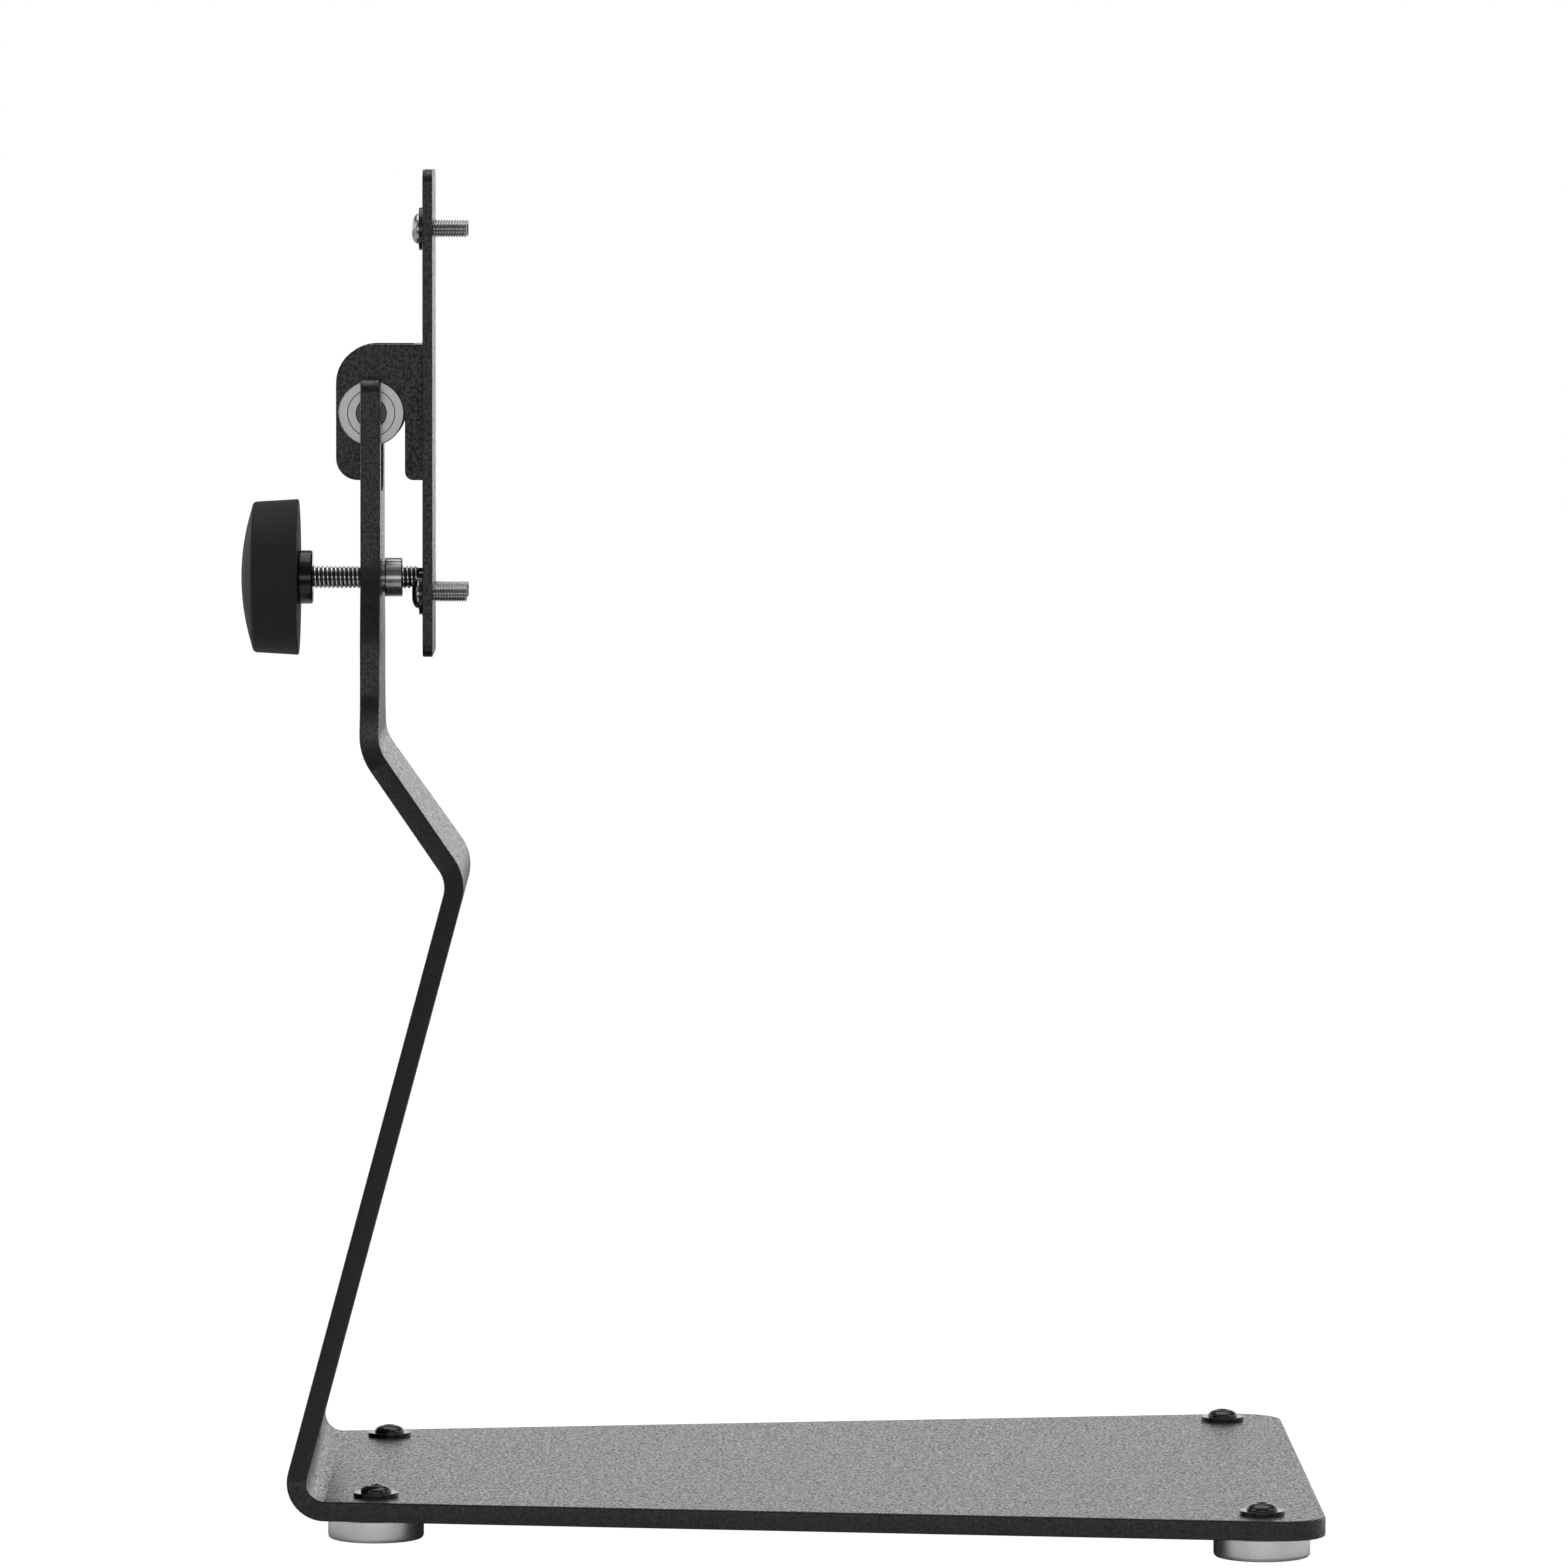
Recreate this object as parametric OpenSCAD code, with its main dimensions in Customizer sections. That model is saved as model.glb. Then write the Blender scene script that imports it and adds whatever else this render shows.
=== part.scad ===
/* [Sheet frame] */
// thickness of the folded steel sheet in mm
sheet_thickness = 5.8; // [4:0.1:8]
// height of the base plate's underside above the ground
base_underside = 6.7; // [4:0.1:12]
// distance from the front edge of the base to the middle plane of the post
post_setback = 278.1; // [220:0.5:320]
// half of the base plate's width along its front edge
front_half_width = 125.8; // [90:0.1:150]
// half of the sheet's width at the bottom bend
bend_half_width = 82; // [60:1:110]
// plan radius of the two front corners
front_corner_radius = 13.5; // [4:0.5:25]
// distance from the middle plane of the post back to the rearmost point of the bottom bend
bend_reach = 22.9; // [14:0.1:40]
// inside radius of the bottom bend
bottom_bend_radius = 5.5; // [3:0.5:12]
// inside radius of the forward-pointing bend half way up
middle_bend_radius = 8.5; // [3:0.5:16]
// inside radius of the bend under the upright top part
upper_bend_radius = 12.5; // [3:0.5:20]
// forward lean of the lower leg from upright in degrees
lower_lean = 15.0; // [5:0.1:25]
// backward lean of the short middle leg from upright in degrees
middle_lean = 35; // [20:0.5:50]
// height at which the middle plane of the upright top part meets the middle plane of the short leg
upper_bend_height = 228.9; // [200:0.1:260]

/* [Post outline seen from the front] */
// half of the post's width just under the shoulders
shoulder_half_width = 43.5; // [35:0.5:60]
// height where the shoulders begin
shoulder_start = 222; // [205:1:235]
// height where the shoulders run out into the neck
shoulder_end = 246; // [236:1:252]
// half of the neck's width
neck_half_width = 31.5; // [27:0.5:40]
// height where the neck begins to narrow towards the fork
neck_start = 257; // [250:1:265]
// height where the fork has its full narrow width
neck_end = 286; // [275:1:295]
// half of the fork's width over both prongs
fork_half_width = 25.6; // [22:0.1:35]
// radius of the outer top corners of the prongs
prong_corner_radius = 4; // [1:0.5:8]

/* [Fork and pivot] */
// height of the tilt axis above the ground
pivot_height = 327.5; // [300:0.5:350]
// width of the slot between the prongs
slot_width = 26.2; // [22:0.1:34]
// distance from the tilt axis down to the bottom of the slot
slot_depth_below_pivot = 23.5; // [20:0.5:32]
// radius of the slot's bottom corners
slot_corner_radius = 3; // [1:0.5:6]
// distance from the tilt axis up to the top of the prongs
prong_above_pivot = 10.2; // [7:0.1:16]
// diameter of the black pivot axle
axle_diameter = 9.0; // [6:0.1:12]
// diameter of the dowel pins that hold the axle in the prongs
pin_diameter = 4.0; // [2.5:0.1:4.5]
// length of each dowel pin inside the axle
pin_depth_in_axle = 6.0; // [3:0.5:9]
// how far each dowel pin's outer end lies below the prong's edge
pin_inset = 0.3; // [0:0.1:1]
// outer diameter of the bright turned discs beside the yoke
disc_diameter = 19.4; // [14:0.1:24]
// thickness of each turned disc
disc_thickness = 1.5; // [1:0.1:2]
// diameter of the shallow ring recess in each disc's outer face
disc_recess_diameter = 14.2; // [11:0.1:17]
// depth of the shallow ring recess
disc_recess_depth = 0.25; // [0.1:0.05:0.6]

/* [Tilting bracket] */
// distance from the tilt axis forward to the rear face of the tilt plate
plate_offset = 15.3; // [12:0.1:22]
// thickness of the tilt plate
plate_thickness = 3.0; // [2:0.1:5]
// width of the tilt plate
plate_width = 42; // [34:1:60]
// height of the tilt plate
plate_height = 144.0; // [120:0.1:180]
// distance from the tilt axis up to the plate's top edge
plate_top_above_pivot = 72.0; // [60:0.1:90]
// radius of the plate's corners
plate_corner_radius = 4; // [1:0.5:10]
// overall width of the hinge yoke over its two ears
yoke_width = 22.5; // [18:0.1:25]
// thickness of the yoke's sheet
yoke_thickness = 3.0; // [2:0.1:4]
// inside radius of the yoke's two bends
yoke_bend_radius = 0.8; // [0.5:0.1:3]
// distance from the tilt axis up to the top of the ears
ear_above_pivot = 20.3; // [16:0.1:26]
// distance from the tilt axis down to the bottom of the ears
ear_below_pivot = 19.9; // [16:0.1:22]
// distance from the tilt axis back to the rear edge of the ears
ear_behind_pivot = 10.5; // [8:0.1:14]
// radius of the ears' upper rear corner
ear_upper_radius = 11.5; // [2:0.5:14]
// radius of the ears' lower rear corner
ear_lower_radius = 6.5; // [2:0.5:9]
// distance from the tilt axis forward to the front edge of the hook slot
hook_front = 9.9; // [9.6:0.1:11]
// distance from the tilt axis forward to the rear edge of the hook slot's entry
hook_lip = 0.3; // [0:0.1:0.6]
// radius of the hook slot's upper front corner, which guides the axle back into its seat
hook_turn_radius = 7.0; // [5.5:0.1:7.5]
// radius of the small corner at the lower end of the front prong
hook_corner_radius = 2.5; // [0.5:0.5:4]

/* [Loudspeaker screws] */
// vertical distance between the upper and lower screws
screw_spacing_height = 107.8; // [80:0.1:130]
// sideways distance between the two screws of a row
screw_spacing_width = 28; // [20:0.5:34]
// height of the lower screw row above the plate's bottom edge
lower_row_above_edge = 18.7; // [12:0.1:25]
// how far the screw shanks stand out of the plate's front face
screw_reach = 10; // [6:0.5:20]

/* [Button head screws and washers] */
// diameter of the screw shanks
shank_diameter = 5.0; // [4:0.1:6]
// diameter of the thread relief on the loudspeaker screws, where they pass through the plate
relief_diameter = 4.2; // [3.6:0.1:4.6]
// diameter of the button heads
head_diameter = 9.0; // [8:0.1:11]
// height of the button heads
head_height = 2.4; // [1.5:0.1:3.5]
// distance across the flats of the hex sockets in the heads
socket_across = 3.0; // [2:0.1:4]
// depth of the hex sockets
socket_depth = 1.3; // [0.8:0.1:2]
// outer diameter of the washers under the foot screws
foot_washer_diameter = 13.1; // [10:0.1:16]
// thickness of the washers under the foot screws
foot_washer_thickness = 1.2; // [0.6:0.1:2]
// outer diameter of the washers under the loudspeaker screws
plate_washer_diameter = 12.6; // [10:0.1:14]
// thickness of the washers under the loudspeaker screws
plate_washer_thickness = 1.1; // [0.6:0.1:2]

/* [Feet] */
// diameter of the turned feet
foot_diameter = 28; // [20:0.5:36]
// radius of each foot's lower edge
foot_edge_radius = 1.5; // [0.5:0.1:2.5]
// distance from the front edge back to the front feet's axes
front_foot_inset = 18.3; // [14:0.1:40]
// distance from the front feet's axes sideways to the base's half width at its front edge
front_foot_side_inset = 18.3; // [16.5:0.1:60]
// distance from the front edge back to the rear feet's axes
rear_foot_inset = 275.3; // [200:0.1:285]
// distance from the rear feet's axes sideways to the sheet's half width at the bottom bend
rear_foot_side_inset = 13; // [12.5:0.5:50]
// diameter of the soft pads under the feet
pad_diameter = 21; // [14:0.5:26]
// thickness of the soft pads
pad_thickness = 1.5; // [1:0.1:2.5]
// how far the pads stand out below the feet
pad_proud = 0.3; // [0.1:0.1:0.8]

/* [Tilt adjuster] */
// distance from the tilt axis down to the axis of the adjuster rod
adjuster_below_pivot = 49.1; // [40:0.1:60]
// outer diameter of the adjuster rod over its thread
rod_diameter = 6.8; // [5:0.1:8]
// outer diameter of the bushing in front of the post
bushing_diameter = 11.6; // [9:0.1:16]
// length of the bushing in front of the post
bushing_length = 6.0; // [3:0.1:9]
// diameter of the bushing's narrow shoulder and of its tail in the post
bushing_tail_diameter = 9.6; // [8.5:0.1:10]
// length of the bushing's narrow shoulder
bushing_shoulder = 0.8; // [0.3:0.1:2]
// gap between the rear face of the post and the knob's boss
boss_gap = 14.8; // [8:0.1:20]
// length of the glossy boss in front of the knob
boss_length = 4.3; // [2:0.1:8]
// diameter of the glossy boss
boss_diameter = 16; // [12:0.1:22]
// depth of the insert inside the knob
insert_depth = 12; // [6:0.5:14]
// diameter of the insert inside the knob
insert_diameter = 12; // [9:0.1:15]
// diameter of the knob at its front face
knob_front_diameter = 46.4; // [35:0.1:60]
// diameter of the knob at its rear rim
knob_rear_diameter = 44.8; // [34:0.1:60]
// length of the knob without its dome
knob_body_length = 13.4; // [8:0.1:25]
// height of the dome on the knob's rear face
knob_dome_height = 3.6; // [1:0.1:8]
// size of the small edge break on the knob's rear rim
knob_edge = 0.8; // [0.2:0.1:2]
// size of the small edge break on the knob's front rim
knob_front_edge = 0.3; // [0.1:0.1:1]
// diameter of the soft nose at the rod's tip
nose_diameter = 5.6; // [4:0.1:6]
// thickness of the nose's button
nose_thickness = 1.4; // [0.8:0.1:2.5]
// diameter of the nose's stem
nose_stem_diameter = 3.0; // [2:0.1:4]
// length of the nose's stem
nose_stem_length = 4.0; // [2:0.5:6]

/* [Clearances] */
// radial clearance of screws in their through holes
hole_clearance = 0.2; // [0.1:0.05:0.5]
// radial clearance of parts that are fixed inside each other
fixed_clearance = 0.03; // [0.01:0.01:0.1]
// radial running clearance of the yoke on the axle and of the rod in the bushing
running_clearance = 0.08; // [0.02:0.01:0.1]
// free distance between the rod's nose and the tilt plate
nose_gap = 0.3; // [0.2:0.1:0.6]

/* [Hidden] */
$fn = 96;

// overall positions along the length, with the origin under the middle of the overall box
knob_length = knob_body_length + knob_dome_height;
overall_length = post_setback + sheet_thickness / 2 + boss_gap + boss_length + knob_length;
front_x = overall_length / 2;
post_x = front_x - post_setback;
post_rear_x = post_x - sheet_thickness / 2;
post_front_x = post_x + sheet_thickness / 2;
plate_rear_x = post_x + plate_offset;
plate_front_x = plate_rear_x + plate_thickness;
boss_front_x = post_rear_x - boss_gap;
knob_front_x = boss_front_x - boss_length;

// heights
base_top = base_underside + sheet_thickness;
prong_top = pivot_height + prong_above_pivot;
slot_bottom = pivot_height - slot_depth_below_pivot;
plate_top = pivot_height + plate_top_above_pivot;
plate_bottom = plate_top - plate_height;
lower_row_z = plate_bottom + lower_row_above_edge;
upper_row_z = lower_row_z + screw_spacing_height;
adjuster_z = pivot_height - adjuster_below_pivot;

// middle line of the folded sheet: bend centres and corner points
half_sheet = sheet_thickness / 2;
bottom_mid_radius = bottom_bend_radius + half_sheet;
bottom_centre_x = post_x - bend_reach + bottom_bend_radius + sheet_thickness;
bottom_centre_z = base_top + bottom_bend_radius;
leg_dir_x = sin(lower_lean);
leg_dir_z = cos(lower_lean);
slope_dir_x = -sin(middle_lean);
slope_dir_z = cos(middle_lean);
leg_start_x = bottom_centre_x - bottom_mid_radius * cos(lower_lean);
leg_start_z = bottom_centre_z + bottom_mid_radius * sin(lower_lean);
// the middle corner is where the lower leg's line meets the short leg's line
corner_cross = leg_dir_x * slope_dir_z - leg_dir_z * slope_dir_x;
corner_along = ((post_x - leg_start_x) * slope_dir_z - (upper_bend_height - leg_start_z) * slope_dir_x)
    / corner_cross;
middle_corner_x = leg_start_x + corner_along * leg_dir_x;
middle_corner_z = leg_start_z + corner_along * leg_dir_z;
middle_mid_radius = middle_bend_radius + half_sheet;
middle_turn = lower_lean + middle_lean;
middle_setback = middle_mid_radius * tan(middle_turn / 2);
upper_mid_radius = upper_bend_radius + half_sheet;
upper_setback = upper_mid_radius * tan(middle_lean / 2);
leg_end_x = middle_corner_x - middle_setback * leg_dir_x;
leg_end_z = middle_corner_z - middle_setback * leg_dir_z;
post_start_z = upper_bend_height + upper_setback;
middle_centre_x = leg_end_x - middle_mid_radius * leg_dir_z;
middle_centre_z = leg_end_z + middle_mid_radius * leg_dir_x;
upper_centre_x = post_x + upper_mid_radius;
upper_centre_z = post_start_z;

// plan outline of the base
side_slope = (front_half_width - bend_half_width) / (front_x - bottom_centre_x);
side_length = sqrt(1 + side_slope * side_slope);
corner_centre_x = front_x - front_corner_radius;
corner_centre_y = front_half_width - front_corner_radius * (side_slope + side_length);
corner_tangent_x = corner_centre_x - front_corner_radius * side_slope / side_length;
corner_tangent_y = corner_centre_y + front_corner_radius / side_length;

// feet: positions and heights
front_foot_x = front_x - front_foot_inset;
rear_foot_x = front_x - rear_foot_inset;
front_foot_y = front_half_width - front_foot_side_inset;
rear_foot_y = bend_half_width - rear_foot_side_inset;
foot_bottom = pad_proud;
foot_screw_reach = base_underside - foot_bottom - (pad_thickness - pad_proud) - 0.5;

// bright disc and yoke positions across the width
disc_inner_y = slot_width / 2 - disc_thickness;
disc_bore = axle_diameter + 2 * fixed_clearance;
hook_radius = axle_diameter / 2 + running_clearance;
bushing_bore = rod_diameter + 2 * running_clearance;
knob_dome_radius = (pow(knob_rear_diameter / 2, 2) + pow(knob_dome_height, 2)) / (2 * knob_dome_height);
rod_tip_x = plate_rear_x - nose_gap - nose_thickness;
rod_end_x = knob_front_x - insert_depth + 1;
rod_length = rod_tip_x - rod_end_x;

// the neck narrows above the shoulders, whatever the two starting heights say
neck_low = max(neck_start, shoulder_end + 2);
neck_high = max(neck_end, neck_low + 5);

// half of the post's width at a given height
function ease(u) = (1 - cos(180 * max(0, min(1, u)))) / 2;
function post_half(z) = z < shoulder_start
    ? bend_half_width + (shoulder_half_width - bend_half_width) * max(0, z - bottom_centre_z)
        / (shoulder_start - bottom_centre_z)
    : shoulder_half_width
        + (neck_half_width - shoulder_half_width)
            * ease((z - shoulder_start) / (shoulder_end - shoulder_start))
        + (fork_half_width - neck_half_width) * ease((z - neck_low) / (neck_high - neck_low));

// turns what is drawn along Z to run forward along X from the given place
module along_x(x, y, z) {
    translate([x, y, z])
        rotate([0, 90, 0])
            children();
}

// turns what is drawn along Z to run along Y from the given place
module along_y(x, y, z) {
    translate([x, y, z])
        rotate([-90, 0, 0])
            children();
}

// a point at a distance and an angle from a bend's centre
function from_centre(cx, cz, distance, angle) = [cx + distance * cos(angle), cz + distance * sin(angle)];

// the wedge of a bend between two angles, out to its mitred corner
module bend_wedge(cx, cz, reach, angles) {
    half_turn = (angles[1] - angles[0]) / 2;
    polygon([
        [cx, cz],
        from_centre(cx, cz, reach, angles[0]),
        from_centre(cx, cz, reach / cos(half_turn), angles[0] + half_turn),
        from_centre(cx, cz, reach, angles[1])
    ]);
}

// what a bend's rounding takes off the outside of its mitred corner
module bend_outside(cx, cz, outer, angles) {
    difference() {
        bend_wedge(cx, cz, 1.5 * outer, angles);
        translate([cx, cz])
            circle(r = outer);
    }
}

// what a bend's rounding fills in on the inside of its mitred corner
module bend_inside(cx, cz, inner, angles) {
    difference() {
        bend_wedge(cx, cz, inner + half_sheet, angles);
        translate([cx, cz])
            circle(r = inner);
    }
}

// side view of the whole folded sheet: mitred corners first, then the three bends
module sheet_side_view() {
    bottom_angles = [180 - lower_lean, 270];
    middle_angles = [-lower_lean, middle_lean];
    upper_angles = [180, 180 + middle_lean];
    bottom_outer = bottom_bend_radius + sheet_thickness;
    middle_outer = middle_bend_radius + sheet_thickness;
    upper_outer = upper_bend_radius + sheet_thickness;
    bottom_mid = (bottom_angles[0] + bottom_angles[1]) / 2;
    middle_mid = (middle_angles[0] + middle_angles[1]) / 2;
    upper_mid = (upper_angles[0] + upper_angles[1]) / 2;
    bottom_cos = cos((90 + lower_lean) / 2);
    middle_cos = cos(middle_turn / 2);
    upper_cos = cos(middle_lean / 2);
    difference() {
        union() {
            polygon([
                [front_x, base_top],
                from_centre(bottom_centre_x, bottom_centre_z, bottom_bend_radius / bottom_cos, bottom_mid),
                from_centre(middle_centre_x, middle_centre_z, middle_outer / middle_cos, middle_mid),
                from_centre(upper_centre_x, upper_centre_z, upper_bend_radius / upper_cos, upper_mid),
                [post_front_x, prong_top],
                [post_rear_x, prong_top],
                from_centre(upper_centre_x, upper_centre_z, upper_outer / upper_cos, upper_mid),
                from_centre(middle_centre_x, middle_centre_z, middle_bend_radius / middle_cos, middle_mid),
                from_centre(bottom_centre_x, bottom_centre_z, bottom_outer / bottom_cos, bottom_mid),
                [front_x, base_underside]
            ]);
            bend_inside(bottom_centre_x, bottom_centre_z, bottom_bend_radius, bottom_angles);
            bend_inside(middle_centre_x, middle_centre_z, middle_bend_radius, middle_angles);
            bend_inside(upper_centre_x, upper_centre_z, upper_bend_radius, upper_angles);
        }
        bend_outside(bottom_centre_x, bottom_centre_z, bottom_outer, bottom_angles);
        bend_outside(middle_centre_x, middle_centre_z, middle_outer, middle_angles);
        bend_outside(upper_centre_x, upper_centre_z, upper_outer, upper_angles);
    }
}

// plan outline that trims the base and the bottom bend
module base_outline() {
    polygon([
        [post_x - 2 * bend_reach, -bend_half_width],
        [bottom_centre_x, -bend_half_width],
        [corner_tangent_x, -corner_tangent_y],
        [corner_centre_x, -corner_centre_y],
        [front_x, -corner_centre_y],
        [front_x, corner_centre_y],
        [corner_centre_x, corner_centre_y],
        [corner_tangent_x, corner_tangent_y],
        [bottom_centre_x, bend_half_width],
        [post_x - 2 * bend_reach, bend_half_width]
    ]);
    for (side = [-1, 1])
        translate([corner_centre_x, side * corner_centre_y])
            circle(r = front_corner_radius);
}

// front outline that trims the legs and the fork, with heights along the second axis
module post_outline() {
    heights = concat(
        [0, bottom_centre_z, shoulder_start],
        [for (i = [1 : 12]) shoulder_start + (shoulder_end - shoulder_start) * i / 12],
        [for (i = [0 : 12]) neck_low + (neck_high - neck_low) * i / 12],
        [prong_top - prong_corner_radius]
    );
    side = [for (z = heights) [post_half(z), z]];
    mirrored = [for (i = [len(side) - 1 : -1 : 0]) [-side[i][0], side[i][1]]];
    difference() {
        union() {
            polygon(concat(side, mirrored));
            translate([0, prong_top - prong_corner_radius / 2])
                square([2 * (fork_half_width - prong_corner_radius), prong_corner_radius], center = true);
            for (end = [-1, 1])
                translate([end * (fork_half_width - prong_corner_radius), prong_top - prong_corner_radius])
                    circle(r = prong_corner_radius);
        }
        slot_outline();
    }
}

// the open slot between the prongs with its two small bottom corner radii
module slot_outline() {
    straight = slot_width - 2 * slot_corner_radius;
    translate([-slot_width / 2, slot_bottom + slot_corner_radius])
        square([slot_width, prong_top - slot_bottom]);
    translate([-straight / 2, slot_bottom])
        square([straight, 2 * slot_corner_radius]);
    for (end = [-1, 1])
        translate([end * straight / 2, slot_bottom + slot_corner_radius])
            circle(r = slot_corner_radius);
}

// the folded steel sheet with base, legs and fork, and its drilled holes
module stand_frame() {
    color([0.15, 0.15, 0.155])
        difference() {
            intersection() {
                translate([0, front_half_width, 0])
                    rotate([90, 0, 0])
                        linear_extrude(height = 2 * front_half_width)
                            sheet_side_view();
                union() {
                    linear_extrude(height = bottom_centre_z)
                        base_outline();
                    translate([post_x - 2 * bend_reach, 0, 0])
                        rotate([90, 0, 90])
                            linear_extrude(height = 4 * bend_reach + 2 * middle_mid_radius)
                                intersection() {
                                    post_outline();
                                    translate([-front_half_width, base_top])
                                        square([2 * front_half_width, prong_top]);
                                }
                }
            }
            for (side = [-1, 1]) {
                translate([front_foot_x, side * front_foot_y, base_underside - 1])
                    cylinder(d = shank_diameter + 2 * hole_clearance, h = sheet_thickness + 2);
                translate([rear_foot_x, side * rear_foot_y, base_underside - 1])
                    cylinder(d = shank_diameter + 2 * hole_clearance, h = sheet_thickness + 2);
            }
            along_x(post_rear_x - 1, 0, adjuster_z)
                cylinder(d = bushing_tail_diameter + 2 * fixed_clearance, h = sheet_thickness + 2);
            along_y(post_x, -fork_half_width - 1, pivot_height)
                cylinder(d = pin_diameter + 2 * fixed_clearance, h = 2 * fork_half_width + 2);
        }
}

// a turned foot with a rounded lower edge, a recess for its pad and a through thread bore
module foot(x, y) {
    r = foot_diameter / 2;
    recess = pad_thickness - pad_proud;
    color([0.78, 0.78, 0.79])
        translate([x, y, 0])
            difference() {
                rotate_extrude() {
                    translate([0, foot_bottom + foot_edge_radius])
                        square([r, base_underside - foot_bottom - foot_edge_radius]);
                    translate([0, foot_bottom])
                        square([r - foot_edge_radius, 2 * foot_edge_radius]);
                    translate([r - foot_edge_radius, foot_bottom + foot_edge_radius])
                        circle(r = foot_edge_radius);
                }
                translate([0, 0, -1])
                    cylinder(d = pad_diameter + 2 * hole_clearance, h = foot_bottom + recess + 1);
                cylinder(d = shank_diameter + 2 * fixed_clearance, h = base_underside + 1);
            }
}

module foot_front_left() {
    foot(front_foot_x, front_foot_y);
}

module foot_front_right() {
    foot(front_foot_x, -front_foot_y);
}

module foot_rear_left() {
    foot(rear_foot_x, rear_foot_y);
}

module foot_rear_right() {
    foot(rear_foot_x, -rear_foot_y);
}

// a soft round pad in the recess of a foot
module foot_pad(x, y) {
    color([0.10, 0.10, 0.10])
        translate([x, y, 0])
            cylinder(d = pad_diameter, h = pad_thickness);
}

module foot_pad_front_left() {
    foot_pad(front_foot_x, front_foot_y);
}

module foot_pad_front_right() {
    foot_pad(front_foot_x, -front_foot_y);
}

module foot_pad_rear_left() {
    foot_pad(rear_foot_x, rear_foot_y);
}

module foot_pad_rear_right() {
    foot_pad(rear_foot_x, -rear_foot_y);
}

// a button head screw along +Z: the head's seat is at zero, the shank runs down below its relief
module button_screw(reach, relief = 0) {
    rim = 0.4;
    rise = head_height - rim;
    dome = (pow(head_diameter / 2, 2) + rise * rise) / (2 * rise);
    difference() {
        union() {
            rotate_extrude() {
                square([head_diameter / 2, rim]);
                intersection() {
                    translate([0, head_height - dome])
                        circle(r = dome);
                    square([head_diameter / 2, head_height]);
                }
            }
            translate([0, 0, -reach])
                cylinder(d = shank_diameter, h = reach - relief + (relief > 0 ? 0 : rim / 2));
            translate([0, 0, -relief - 0.2])
                cylinder(d = relief_diameter, h = relief + 0.2 + rim / 2);
        }
        translate([0, 0, head_height - socket_depth])
            cylinder(d = socket_across / cos(30), h = socket_depth + 1, $fn = 6);
    }
}

// a flat washer on the XY plane
module flat_washer(outer, thickness) {
    difference() {
        cylinder(d = outer, h = thickness);
        translate([0, 0, -1])
            cylinder(d = shank_diameter + 2 * hole_clearance, h = thickness + 2);
    }
}

module foot_screw(x, y) {
    seat = base_top + foot_washer_thickness;
    color([0.11, 0.11, 0.115])
        translate([x, y, seat])
            button_screw(seat - base_underside + foot_screw_reach);
}

module foot_screw_front_left() {
    foot_screw(front_foot_x, front_foot_y);
}

module foot_screw_front_right() {
    foot_screw(front_foot_x, -front_foot_y);
}

module foot_screw_rear_left() {
    foot_screw(rear_foot_x, rear_foot_y);
}

module foot_screw_rear_right() {
    foot_screw(rear_foot_x, -rear_foot_y);
}

module foot_washer(x, y) {
    color([0.13, 0.13, 0.135])
        translate([x, y, base_top])
            flat_washer(foot_washer_diameter, foot_washer_thickness);
}

module foot_washer_front_left() {
    foot_washer(front_foot_x, front_foot_y);
}

module foot_washer_front_right() {
    foot_washer(front_foot_x, -front_foot_y);
}

module foot_washer_rear_left() {
    foot_washer(rear_foot_x, rear_foot_y);
}

module foot_washer_rear_right() {
    foot_washer(rear_foot_x, -rear_foot_y);
}

// the black axle between the prongs, with a pin bore in each end
module pivot_axle() {
    bore = pin_diameter + 2 * fixed_clearance;
    color([0.07, 0.07, 0.075])
        difference() {
            along_y(post_x, -slot_width / 2, pivot_height)
                cylinder(d = axle_diameter, h = slot_width);
            along_y(post_x, -slot_width / 2 - 1, pivot_height)
                cylinder(d = bore, h = pin_depth_in_axle + 1 + pin_inset);
            along_y(post_x, slot_width / 2 - pin_depth_in_axle - pin_inset, pivot_height)
                cylinder(d = bore, h = pin_depth_in_axle + 1 + pin_inset);
        }
}

// a bright turned disc whose outer face, with the ring recess, lies against a prong
module axle_disc() {
    r = disc_diameter / 2;
    edge = 0.5;
    recess = disc_recess_diameter / 2;
    bore = disc_bore / 2;
    color([0.80, 0.80, 0.81])
        rotate_extrude()
            polygon([
                [bore, 0],
                [r - edge, 0],
                [r, edge],
                [r, disc_thickness - edge],
                [r - edge, disc_thickness],
                [recess, disc_thickness],
                [recess - disc_recess_depth, disc_thickness - disc_recess_depth],
                [bore + edge, disc_thickness - disc_recess_depth],
                [bore, disc_thickness - disc_recess_depth - edge]
            ]);
}

module axle_disc_left() {
    along_y(post_x, disc_inner_y, pivot_height)
        axle_disc();
}

module axle_disc_right() {
    mirror([0, 1, 0])
        along_y(post_x, disc_inner_y, pivot_height)
            axle_disc();
}

// a dowel pin through the left prong into the axle
module axle_pin() {
    outer = fork_half_width - pin_inset;
    inner = slot_width / 2 - pin_depth_in_axle;
    color([0.13, 0.13, 0.135])
        along_y(post_x, inner, pivot_height)
            cylinder(d = pin_diameter, h = outer - inner);
}

module axle_pin_left() {
    axle_pin();
}

module axle_pin_right() {
    mirror([0, 1, 0])
        axle_pin();
}

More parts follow.
